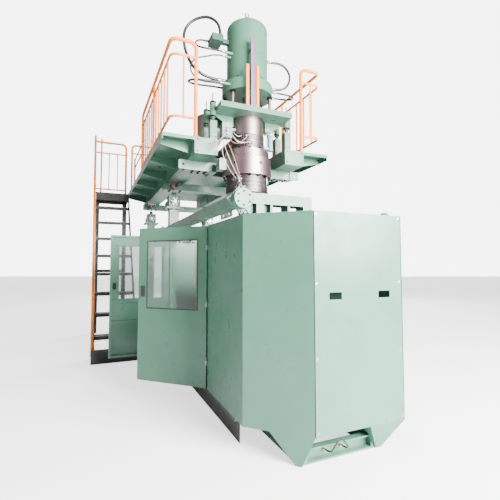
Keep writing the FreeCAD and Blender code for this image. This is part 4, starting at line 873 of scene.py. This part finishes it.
def head_boxes(bolts):
    """The wiring box on the left of the head, the block beside the rings and a small side cylinder."""
    bm = bmesh.new()
    add_block(bm, (-0.375, -0.150, 2.860), (-0.255, -0.060, 3.040))
    add_block(bm, (-0.379, -0.154, 2.872), (-0.372, -0.056, 3.028))
    add_block(bm, (-0.255, -0.125, 2.960), (-0.200, -0.085, 2.990))
    piece("wiring_box", bm, "platform", "grey_box", 0.003)
    bm = bmesh.new()
    add_block(bm, (-0.385, -0.070, 2.490), (-0.296, 0.050, 2.620))
    add_block(bm, (-0.372, -0.055, 2.620), (-0.305, 0.035, 2.636))
    piece("ring_block", bm, "platform", "grey_box", 0.003)
    bm = bmesh.new()
    outline = [(0.0001, 0), (0.038, 0), (0.038, 0.018), (0.030, 0.022)]
    outline += [(0.030, 0.170), (0.038, 0.174), (0.038, 0.200), (0.0001, 0.200)]
    add_lathe(bm, (0.290, -0.070, 2.790), UP, outline, 32)
    add_block(bm, (0.200, -0.085, 2.805), (0.262, -0.055, 2.835))
    piece("side_cylinder", bm, "platform", "blue_paint", 0.001)
    bm = bmesh.new()
    for z in (2.885, 3.015):
        for y in (-0.140, -0.070):
            add_socket_screw(bm, (-0.379, y, z), LEFT, bolts.small * 0.4, 0.003)
    for x, y, z in BOX_GLANDS:
        spot, axis = ((x, y, BOX_LOW), DOWN) if z < BOX_LOW else ((x, -0.150, z), NEAR)
        add_drum(bm, spot, axis, 0.010, 0.016, segments=6)
    piece("wiring_box_screws", bm, "platform", "bright_bolt")


def column_nuts():
    """Hexagon nuts over the round ones of the adjusting columns, and lock screws in their feet."""
    bm = bmesh.new()
    for x in (-0.490, 0.490):
        for y in (-0.130, 0.130):
            for z in (3.076, 3.246):
                add_drum(bm, (x, y, z), UP, 0.0395, 0.020, segments=6)
            for dx in (-0.026, 0.026):
                add_socket_screw(bm, (x + dx, y - 0.040, 2.840), NEAR, 0.007, 0.006)
            for i in range(11):
                outline = [(0.0202, 0), (0.0222, 0.001), (0.0202, 0.002)]
                add_lathe(bm, (x, y, 3.034 + 0.0036 * i), UP, outline, 24)
    return piece("column_nuts", bm, "platform", "black_oxide")


# ---- injection cylinder ----

FLANGE_LOW, FLANGE_TOP, BRIDGE_TOP = 3.448, 3.580, 3.207
BARREL, SCALE_FRONT, RAIL_TOP = 0.256, -0.338, 3.700
BLEED_PLUG = (-0.110, -0.070, 4.386)


def cylinder_bolts(bolts):
    """Bolts on the flange and nuts on the tie rods."""
    bm = bmesh.new()
    for x, y, _ in around(0.286, 12, 15):
        add_bolt(bm, (x, y, FLANGE_TOP), UP, bolts.large)
    for x, y, _ in around(0.285, 6, 30):
        add_drum(bm, (x, y, BRIDGE_TOP), UP, 0.034, 0.028, segments=6)
        add_drum(bm, (x, y, FLANGE_LOW), DOWN, 0.034, 0.028, segments=6)
    return piece("cylinder_bolts", bm, "platform", "black_oxide")


def cylinder_trim():
    """The weld seams of the barrel and a bleed plug on the dome."""
    bm = bmesh.new()
    for z, reach in ((4.273, 0.0025), (FLANGE_TOP + 0.004, 0.006)):
        inner, outer = BARREL - 0.0005, BARREL + reach
        outline = [(inner, z), (outer, z + 0.003), (outer, z + 0.008), (inner, z + 0.011)]
        add_lathe(bm, CENTRE, UP, outline, 72)
    piece("cylinder_seams", bm, "platform", "mint_paint")
    bm = bmesh.new()
    add_drum(bm, BLEED_PLUG, UP, 0.014, 0.022, segments=6)
    add_drum(bm, (*BLEED_PLUG[:2], BLEED_PLUG[2] + 0.022), UP, 0.007, 0.012, 0.005, 16)
    piece("bleed_plug", bm, "platform", "brass")


def scale_fittings():
    """Graduations on the shot scale, and the two orange switch rails beside it."""
    front = SCALE_FRONT
    bm = bmesh.new()
    for i in range(38):
        z = 3.260 + 0.020 * i
        wide = 0.030 if i % 5 == 0 else 0.018
        add_block(bm, (-0.088, front - 0.0008, z), (-0.088 + wide, front, z + 0.002))
    piece("scale_ticks", bm, "platform", "white_wire")
    bm = bmesh.new()
    for low, high in ((-0.150, -0.115), (-0.020, 0.012)):
        add_block(bm, (low, front, BRIDGE_TOP), (high, front + 0.006, RAIL_TOP))
        add_block(bm, (low, front + 0.006, BRIDGE_TOP), (low + 0.005, front + 0.024, RAIL_TOP))
        add_block(bm, (low - 0.010, front, BRIDGE_TOP), (high + 0.010, front + 0.045, BRIDGE_TOP + 0.006))
    piece("switch_rails", bm, "platform", "orange_paint", 0.001)


# ---- extruder ----

SCREW_Z, MOTOR_Z, GLAND_Z = 2.985, 3.065, 3.275
GEAR_START, GEAR_END = 1.750, 2.170
BAND_BORE, BAND_RADIUS, BAND_WIDTH = 0.0752, 0.083, 0.100
HOPPER_Y, HOPPER_RADIUS = 1.500, 0.2302


def extruder_bands():
    """Heater bands along the barrel, in pairs, with their terminals."""
    bands, caps = bmesh.new(), bmesh.new()
    for i in range(8):
        start = 0.290 + 0.135 * i
        outline = [(BAND_BORE, 0), (BAND_RADIUS, 0), (BAND_RADIUS, BAND_WIDTH), (BAND_BORE, BAND_WIDTH)]
        add_lathe(bands, (0, start, SCREW_Z), AWAY, outline, 48)
        add_block(bands, (-0.012, start + 0.010, SCREW_Z + 0.080), (0.012, start + 0.090, SCREW_Z + 0.100))
        for shift in (0.030, 0.070):
            add_drum(caps, (-0.081, start + shift, SCREW_Z), LEFT, 0.009, 0.020, 0.007, 16)
    piece("barrel_bands", bands, "platform", "heater_band")
    piece("barrel_terminals", caps, "platform", "white_wire")


def extruder_fittings(bolts):
    """Bolts, lifting eyes and cooling fins of the gearbox and motor."""
    fixings, fins = bmesh.new(), bmesh.new()
    for dx, dz, _ in around(0.100, 8, 22.5):
        add_bolt(fixings, (dx, GEAR_START - 0.040, SCREW_Z + dz), NEAR, bolts.medium)
    for x in (-0.240, 0.240):
        for y in (GEAR_START + 0.06, GEAR_END - 0.06):
            add_bolt(fixings, (x, y, DECK + 0.030), UP, bolts.medium)
    for i in range(6):
        y = GEAR_START + 0.05 + 0.06 * i
        for side in (-1, 1):
            x = sorted((side * 0.220, side * 0.232))
            add_block(fins, (x[0], y, DECK + 0.06), (x[1], y + 0.012, DECK + 0.45))
    add_block(fins, (-0.200, GEAR_START + 0.02, DECK + 0.480), (0.200, GEAR_END - 0.02, DECK + 0.492))
    piece("gearbox_ribs", fins, "platform", "mint_paint", 0.002)
    fins = bmesh.new()
    for i in range(30):
        angle = math.radians(12 * i)
        if -0.45 < math.sin(angle) < 0.62:
            out = Vector((math.cos(angle), 0, math.sin(angle)))
            middle = Vector((0, 2.530, MOTOR_Z)) + out * 0.200
            turn = Matrix.Rotation(-angle, 4, "Y")
            reach = Vector((0.012, 0.270, 0.003))
            add_block(fins, middle - reach, middle + reach, turn)
    outline = [(0.020, 0), (0.176, 0), (0.176, 0.010), (0.020, 0.010)]
    add_lathe(fins, (0, 2.980, MOTOR_Z), AWAY, outline, 48)
    for i in range(9):
        radius = 0.035 + 0.016 * i
        ring = [(radius, 0), (radius + 0.004, 0), (radius + 0.004, 0.008), (radius, 0.008)]
        add_lathe(fins, (0, 2.990, MOTOR_Z), AWAY, ring, 48)
    piece("motor_fins", fins, "platform", "dark_green_paint")
    bm = bmesh.new()
    for y in (2.520, 2.580):
        add_drum(bm, (0.080, y, GLAND_Z), RIGHT, 0.018, 0.028, 0.014, 24)
    piece("motor_glands", bm, "platform", "black_plastic")
    piece("extruder_bolts", fixings, "platform", "black_oxide")


def hopper_trim():
    """The rolled rim, flange screws and sight strip of the hopper."""
    bm = bmesh.new()
    outline = [(HOPPER_RADIUS, 3.725), (0.236, 3.728), (0.238, 3.735), (0.236, 3.742), (HOPPER_RADIUS, 3.745)]
    add_lathe(bm, (0, HOPPER_Y, 0), UP, outline, 64)
    for x, y, _ in around(0.076, 6):
        add_bolt(bm, (x, HOPPER_Y + y, 3.139), UP, 0.012)
    piece("hopper_rim", bm, "platform", "galvanised")
    bm = bmesh.new()
    add_block(bm, (-0.022, 1.2668, 3.500), (0.022, 1.2705, 3.700))
    piece("hopper_sight", bm, "platform", "black_plastic", 0.001)


# ---- hoses and wires ----

HOSES = {
    "hose_upper_loop": (
        0.018,
        [
            (-0.371, -0.040, 4.141), (-0.371, -0.040, 4.221), (-0.404, -0.014, 4.338),
            (-0.498, 0.083, 4.442), (-0.637, 0.180, 4.429), (-0.749, 0.222, 4.307),
            (-0.776, 0.180, 4.112), (-0.777, 0.011, 3.851), (-0.708, -0.040, 3.677),
            (-0.584, -0.053, 3.600), (-0.445, -0.020, 3.602), (-0.357, -0.020, 3.602),
        ],
    ),
    "hose_valve_link": (
        0.011,
        [
            (-0.324, -0.090, 3.928), (-0.406, -0.090, 3.928), (-0.514, -0.148, 3.886),
            (-0.608, -0.136, 3.887), (-0.672, -0.081, 3.925), (-0.685, -0.017, 3.999),
            (-0.620, 0.058, 4.091), (-0.553, 0.082, 4.120), (-0.485, 0.082, 4.120),
        ],
    ),
    "hose_thin": (
        0.0095,
        [
            (-0.312, -0.060, 3.894), (-0.421, -0.060, 3.894), (-0.564, -0.084, 3.821),
            (-0.679, -0.074, 3.785), (-0.754, -0.072, 3.690), (-0.728, -0.062, 3.580),
            (-0.604, -0.042, 3.530), (-0.446, -0.030, 3.552), (-0.339, -0.030, 3.552),
        ],
    ),
    "hose_lower_loop": (
        0.013,
        [
            (-0.362, -0.130, 3.518), (-0.464, -0.130, 3.518), (-0.608, -0.150, 3.490),
            (-0.716, -0.088, 3.512), (-0.758, 0.050, 3.545), (-0.661, 0.170, 3.588),
            (-0.513, 0.182, 3.601), (-0.377, 0.160, 3.604), (-0.260, 0.160, 3.604),
        ],
    ),
    "hose_right_upper": (
        0.015,
        [
            (0.277, -0.030, 3.974), (0.346, -0.030, 3.974), (0.456, -0.042, 3.984),
            (0.552, -0.051, 3.925), (0.595, -0.054, 3.830), (0.575, -0.050, 3.722),
            (0.497, -0.042, 3.643), (0.395, -0.030, 3.624), (0.330, -0.030, 3.624),
        ],
    ),
    "hose_right_lower": (
        0.013,
        [
            (0.305, -0.130, 3.530), (0.372, -0.130, 3.530), (0.467, -0.165, 3.517),
            (0.587, -0.130, 3.525), (0.649, -0.023, 3.547), (0.625, 0.090, 3.584),
            (0.530, 0.155, 3.604), (0.419, 0.155, 3.604),
        ],
    ),
}


def hose_end_fittings():
    """A crimped collar and a hexagon adapter on each end of every hose."""
    collars, nuts = bmesh.new(), bmesh.new()
    for radius, points in HOSES.values():
        crimp, waist, skin = radius * 1.30, radius * 1.22, radius + 0.0004
        for end, nearby in ((points[0], points[1]), (points[-1], points[-2])):
            start, along = Vector(end), (Vector(nearby) - Vector(end)).normalized()
            if abs(along.x) > 0.8:
                along = Vector((math.copysign(1, along.x), 0, 0))
            outline = [
                (skin, 0.002),
                (crimp, 0.004),
                (crimp, 0.016),
                (waist, 0.018),
                (crimp, 0.020),
                (crimp, 0.034),
                (skin, 0.037),
            ]
            add_lathe(collars, start, along, outline, 32)
            add_drum(nuts, start - along * 0.016, along, radius * 1.45, 0.016, segments=6)
    piece("hose_collars", collars, "platform", "bright_bolt")
    piece("hose_adapters", nuts, "platform", "brass")


def hoses():
    """The six hydraulic hoses of the injection cylinder."""
    for node, (radius, points) in HOSES.items():
        cord_piece(f"{node}_line", points, radius * 2, "platform", "black_hose", node=node)


def arc_points(start, end, sag, bow, count=7):
    """Points of a hanging loop between two spots, with a sag downwards and a bow to one side."""
    start, end, bow = Vector(start), Vector(end), Vector(bow)
    points = []
    for i in range(count):
        share = i / (count - 1)
        lift = 4 * share * (1 - share)
        points.append(tuple(start.lerp(end, share) + Vector((0, 0, -sag * lift)) + bow * lift))
    return points


BOX_LOW = 2.860
BOX_GLANDS = [(-0.315, -0.164, z) for z in (2.900, 2.945, 2.990)]
BOX_GLANDS += [(x, -0.105, 2.848) for x in (-0.350, -0.315)]
HEAD_WIRES = (
    ("white_wire", (-0.150, -0.172, 2.900), BOX_GLANDS[2], 0.10, (-0.02, -0.12, 0)),
    ("white_wire", (-0.120, -0.197, 2.815), BOX_GLANDS[1], 0.12, (-0.04, -0.15, 0)),
    ("pink_wire", (-0.090, -0.211, 2.880), BOX_GLANDS[0], 0.14, (-0.06, -0.10, 0)),
    ("white_wire", (-0.060, -0.222, 2.825), BOX_GLANDS[2], 0.16, (-0.09, -0.19, 0)),
    ("white_wire", (-0.190, -0.205, 2.370), BOX_GLANDS[3], 0.03, (-0.11, -0.20, 0)),
    ("pink_wire", (-0.160, -0.228, 2.275), BOX_GLANDS[4], 0.04, (-0.08, -0.24, 0)),
    ("white_wire", (-0.215, -0.175, 2.370), BOX_GLANDS[4], 0.02, (-0.16, -0.17, 0)),
    ("pink_wire", (-0.500, -0.188, 2.760), BOX_GLANDS[3], 0.12, (-0.10, -0.12, 0)),
    ("white_wire", (-0.560, -0.188, 2.740), BOX_GLANDS[1], 0.10, (-0.04, -0.16, 0)),
)


def head_wires(hoses_set):
    """Heater and sensor wires that loop from the wiring box to the bands and the girder."""
    for number, (finish, start, end, sag, bow) in enumerate(HEAD_WIRES):
        points = arc_points(start, end, sag, bow)
        cord_piece(f"head_wire_{number}", points, hoses_set.wire, "platform", finish)


SILL_HOSE = [
    (-0.075, -1.926, 0.060),
    (-0.075, -1.990, 0.062),
    (-0.090, -2.008, 0.100),
    (-0.125, -2.010, 0.140),
    (-0.170, -2.010, 0.140),
    (-0.205, -2.008, 0.100),
    (-0.220, -1.990, 0.062),
    (-0.220, -1.926, 0.060),
]
COIL_AXIS, COIL_RADIUS, COIL_TURNS = (-0.500, 0.460), 0.034, 14
COIL_ARMS, COIL_STEPS = (1.080, 1.640), 12
SILL_FACE, SILL_PORT_Z = -1.902, 0.060


def sill_hose(hoses_set):
    """The small grease hose that loops out of the front sill, with its two fittings."""
    cord_piece("sill_hose", SILL_HOSE, hoses_set.wire * 1.6, "machine", "black_hose")
    bm = bmesh.new()
    for x in (SILL_HOSE[0][0], SILL_HOSE[-1][0]):
        add_drum(bm, (x, SILL_FACE, SILL_PORT_Z), NEAR, 0.011, 0.014, segments=6)
        add_drum(bm, (x, SILL_FACE - 0.014, SILL_PORT_Z), NEAR, 0.008, 0.012, segments=16)
    piece("sill_hose_fittings", bm, "machine", "brass")


def coil_points():
    """Down from the upper arm, round the rod in even turns and into the lower arm."""
    x, y = COIL_AXIS
    low, high = COIL_ARMS[0] + 0.060, COIL_ARMS[1] - 0.060
    steps = COIL_TURNS * COIL_STEPS
    points = [(x - COIL_RADIUS, y, COIL_ARMS[1] - 0.012), (x - COIL_RADIUS, y, high + 0.030)]
    for i in range(steps + 1):
        angle = math.pi + 2 * math.pi * i / COIL_STEPS
        height = high - (high - low) * i / steps
        points.append((x + COIL_RADIUS * math.cos(angle), y + COIL_RADIUS * math.sin(angle), height))
    points += [(x - COIL_RADIUS, y, low - 0.030), (x - COIL_RADIUS, y, COIL_ARMS[0] + 0.012)]
    return points


def air_coil(hoses_set):
    """The curly air hose round its rod beside the rear platen, with its fittings."""
    x, y = COIL_AXIS
    bm = bmesh.new()
    add_drum(bm, (x - COIL_RADIUS, y, COIL_ARMS[1]), DOWN, 0.008, 0.014, segments=6)
    add_drum(bm, (x - COIL_RADIUS, y, COIL_ARMS[0] + 0.016), UP, 0.008, 0.010, segments=6)
    piece("coil_fittings", bm, "rear_clamp", "brass")
    cord_piece(
        "air_coil", coil_points(), hoses_set.wire, "rear_clamp", "orange_hose"
    )


# ---- stage ----


def add_sheet(name, corners, finish):
    mesh = bpy.data.meshes.new(name)
    mesh.from_pydata(corners, [], [tuple(range(len(corners)))])
    item = bpy.data.objects.new(name, mesh)
    bpy.context.scene.collection.objects.link(item)
    mesh.materials.append(finish)
    return item


def stage_finish(name, tint, roughness):
    """A plain matt surface with a faint drift of tone."""
    material, nodes, links = new_material(name)
    shader = nodes["Principled BSDF"]
    patch = noise(nodes, links, 0.8, 4.0)
    tint_out = ramp(nodes, links, patch, [(0.3, tinted(tint, 0.97)), (0.7, tint)])
    links.new(tint_out, shader.inputs["Base Color"])
    links.new(spread(nodes, links, patch, roughness * 0.9, roughness * 1.1), shader.inputs["Roughness"])
    return material


def glow(material, seen, cast):
    """Lets a stage surface read as lit paper, and throw less light on the machine than it shows."""
    nodes, links = material.node_tree.nodes, material.node_tree.links
    shader = nodes["Principled BSDF"]
    strength = nodes.new("ShaderNodeMapRange")
    strength.inputs["To Min"].default_value = cast
    strength.inputs["To Max"].default_value = seen
    links.new(nodes.new("ShaderNodeLightPath").outputs["Is Camera Ray"], strength.inputs["Value"])
    links.new(strength.outputs["Result"], shader.inputs["Emission Strength"])
    shader.inputs["Emission Color"].default_value = (1, 1, 1, 1)
    return material


def build_floor(stage):
    """A plain pale floor with a pale backdrop far behind it, square to the camera."""
    half, reach = stage.floor, stage.floor * 0.7
    floor = add_sheet(
        "floor",
        [(-half, -half, 0), (half, -half, 0), (half, half, 0), (-half, half, 0)],
        glow(stage_finish("floor", (0.90, 0.90, 0.90), 0.30), 1.5, 0.12),
    )
    eye = Vector(stage.camera)
    ahead = Vector((math.sin(stage.yaw), math.cos(stage.yaw), 0)) * reach
    aside = Vector((math.cos(stage.yaw), -math.sin(stage.yaw), 0)) * reach * 0.8
    foot = Vector((eye.x, eye.y, 0)) + ahead
    rise = Vector((0, 0, reach * 0.95))
    back = add_sheet(
        "backdrop",
        [foot - aside, foot + aside, foot + aside + rise, foot - aside + rise],
        glow(stage_finish("backdrop", (0.96, 0.96, 0.96), 0.9), 6.0, 0.7),
    )


def build_world():
    """Even, dim light from all round."""
    world = bpy.data.worlds.new("studio")
    world.use_nodes = True
    background = world.node_tree.nodes["Background"]
    background.inputs["Color"].default_value = (0.97, 0.98, 1.0, 1)
    background.inputs["Strength"].default_value = 0.34
    bpy.context.scene.world = world


def area_light(name, spot, target, size, power, tint=(1, 1, 1)):
    lamp = bpy.data.lights.new(name, "AREA")
    lamp.shape = "RECTANGLE"
    lamp.size, lamp.size_y = size
    lamp.energy = power
    lamp.color = tint
    item = bpy.data.objects.new(name, lamp)
    bpy.context.scene.collection.objects.link(item)
    item.location = spot
    item.rotation_euler = (Vector(target) - Vector(spot)).to_track_quat("-Z", "Y").to_euler()


def build_lights():
    """A broad key from the right front, a fill from the left, a soft top light and one for the far side."""
    middle = (0.0, 0.5, 2.2)
    area_light("key", (2.5, -7.5, 3.5), middle, (5.0, 4.0), 6200, (1.0, 0.99, 0.97))
    area_light("fill", (-7.0, -2.0, 4.0), middle, (5.0, 5.0), 100, (0.95, 0.98, 1.0))
    area_light("rear", (6.0, 10.0, 5.5), middle, (6.0, 5.0), 2600, (0.98, 0.99, 1.0))
    area_light("top", (0.0, 1.5, 8.5), (0.0, 1.5, 0.0), (6.0, 7.0), 260)


def build_camera(stage):
    """The camera at the height of a standing person, turned a little to the right."""
    camera = bpy.data.cameras.new("camera")
    camera.sensor_width = 36
    camera.lens = stage.lens
    camera.shift_x, camera.shift_y = -0.004, -0.0132
    camera.clip_end = 200
    item = bpy.data.objects.new("camera", camera)
    bpy.context.scene.collection.objects.link(item)
    item.location = stage.camera
    item.rotation_euler = (math.radians(90) + stage.pitch, 0, -stage.yaw)
    bpy.context.scene.camera = item


# ---- operators ----


def paint_nodes():
    """Gives every node of the solid model the finish that the record names."""
    for entry in frame["record"]["subparts"]:
        item = bpy.data.objects[entry["node"]]
        item.data.materials.clear()
        item.data.materials.append(FINISH[entry["material_slot"]])


class MACHINE_OT_paint(bpy.types.Operator):
    """Build the finishes and paint the solid model"""

    bl_idname = "machine.paint"
    bl_label = "Paint"

    def execute(self, context):
        FINISH.update(build_materials(context.scene.machine_paint))
        paint_nodes()
        return {"FINISHED"}


class MACHINE_OT_covers(bpy.types.Operator):
    """Add screws, breather and window trim to the covers and doors"""

    bl_idname = "machine.covers"
    bl_label = "Covers and doors"

    def execute(self, context):
        bolts = context.scene.machine_bolts
        cover_screws(bolts)
        breather()
        hinge_screws(bolts)
        for end, word in ENDS:
            window_trim(end, word)
            door_handle(end, word)
            door_inside(end, word)
        return {"FINISHED"}


class MACHINE_OT_clamp(bpy.types.Operator):
    """Add the fastenings and fittings of the clamp"""

    bl_idname = "machine.clamp"
    bl_label = "Clamp"

    def execute(self, context):
        bolts = context.scene.machine_bolts
        tie_bolts(bolts)
        frame_bolts(bolts)
        anchor_bolts(bolts)
        sensor_plate()
        for end, word in ENDS:
            platen_fittings(end, word)
            rail_wipers(end, word)
        return {"FINISHED"}


class MACHINE_OT_jacks(bpy.types.Operator):
    """Add bolts, covers and fins to the four screw jacks"""

    bl_idname = "machine.jacks"
    bl_label = "Jacks"

    def execute(self, context):
        bolts = context.scene.machine_bolts
        jack_fittings(bolts)
        jack_covers()
        jack_plate_bolts(bolts)
        return {"FINISHED"}


class MACHINE_OT_platform(bpy.types.Operator):
    """Add the fastenings and studs of the platform and its guard rails"""

    bl_idname = "machine.platform"
    bl_label = "Platform"

    def execute(self, context):
        bolts = context.scene.machine_bolts
        guard_feet(bolts)
        girder_fittings(bolts)
        deck_studs()
        stair_fittings(bolts)
        return {"FINISHED"}


class MACHINE_OT_head(bpy.types.Operator):
    """Add heaters, screws, hinges and boxes to the die head"""

    bl_idname = "machine.head"
    bl_label = "Die head"

    def execute(self, context):
        bolts = context.scene.machine_bolts
        heater_bands()
        band_clamps()
        ring_bolts(bolts)
        lower_hinges()
        head_boxes(bolts)
        column_nuts()
        return {"FINISHED"}


class MACHINE_OT_cylinder(bpy.types.Operator):
    """Add bolts, seams and the shot scale to the injection cylinder"""

    bl_idname = "machine.cylinder"
    bl_label = "Injection cylinder"

    def execute(self, context):
        cylinder_bolts(context.scene.machine_bolts)
        cylinder_trim()
        scale_fittings()
        return {"FINISHED"}


class MACHINE_OT_extruder(bpy.types.Operator):
    """Add heaters, ribs and fins to the extruder"""

    bl_idname = "machine.extruder"
    bl_label = "Extruder"

    def execute(self, context):
        extruder_bands()
        extruder_fittings(context.scene.machine_bolts)
        hopper_trim()
        return {"FINISHED"}


class MACHINE_OT_hoses(bpy.types.Operator):
    """Add the hoses and wires"""

    bl_idname = "machine.hoses"
    bl_label = "Hoses and wires"

    def execute(self, context):
        settings = context.scene.machine_hoses
        hoses()
        hose_end_fittings()
        head_wires(settings)
        sill_hose(settings)
        air_coil(settings)
        return {"FINISHED"}


class MACHINE_OT_stage(bpy.types.Operator):
    """Add the floor, backdrop, lights and camera"""

    bl_idname = "machine.stage"
    bl_label = "Stage"

    def execute(self, context):
        stage = context.scene.machine_stage
        build_floor(stage)
        build_world()
        build_lights()
        build_camera(stage)
        return {"FINISHED"}


class MACHINE_PT_build(bpy.types.Panel):
    bl_idname = "MACHINE_PT_build"
    bl_label = "Blow moulding machine"
    bl_space_type = "VIEW_3D"
    bl_region_type = "UI"
    bl_category = "Machine"

    def draw(self, context):
        layout = self.layout
        for name in SETTINGS:
            box = layout.box()
            group = getattr(context.scene, name)
            for field in group.bl_rna.properties:
                if field.identifier not in {"rna_type", "name"}:
                    box.prop(group, field.identifier)
        for operator in OPERATORS:
            layout.operator(operator.bl_idname)


SETTINGS = {
    "machine_paint": PaintSettings,
    "machine_bolts": BoltSettings,
    "machine_hoses": HoseSettings,
    "machine_stage": StageSettings,
}
OPERATORS = (
    MACHINE_OT_paint,
    MACHINE_OT_covers,
    MACHINE_OT_clamp,
    MACHINE_OT_jacks,
    MACHINE_OT_platform,
    MACHINE_OT_head,
    MACHINE_OT_cylinder,
    MACHINE_OT_extruder,
    MACHINE_OT_hoses,
    MACHINE_OT_stage,
)


def register():
    for group in SETTINGS.values():
        bpy.utils.register_class(group)
    for operator in OPERATORS:
        bpy.utils.register_class(operator)
    bpy.utils.register_class(MACHINE_PT_build)
    for name, group in SETTINGS.items():
        setattr(bpy.types.Scene, name, PointerProperty(type=group))


def unregister():
    for name in SETTINGS:
        delattr(bpy.types.Scene, name)
    bpy.utils.unregister_class(MACHINE_PT_build)
    for operator in reversed(OPERATORS):
        bpy.utils.unregister_class(operator)
    for group in reversed(SETTINGS.values()):
        bpy.utils.unregister_class(group)


def main():
    register()
    bpy.ops.machine.paint()
    bpy.ops.machine.covers()
    bpy.ops.machine.clamp()
    bpy.ops.machine.jacks()
    bpy.ops.machine.platform()
    bpy.ops.machine.head()
    bpy.ops.machine.cylinder()
    bpy.ops.machine.extruder()
    bpy.ops.machine.hoses()
    bpy.ops.machine.stage()


if __name__ == "__main__":
    main()
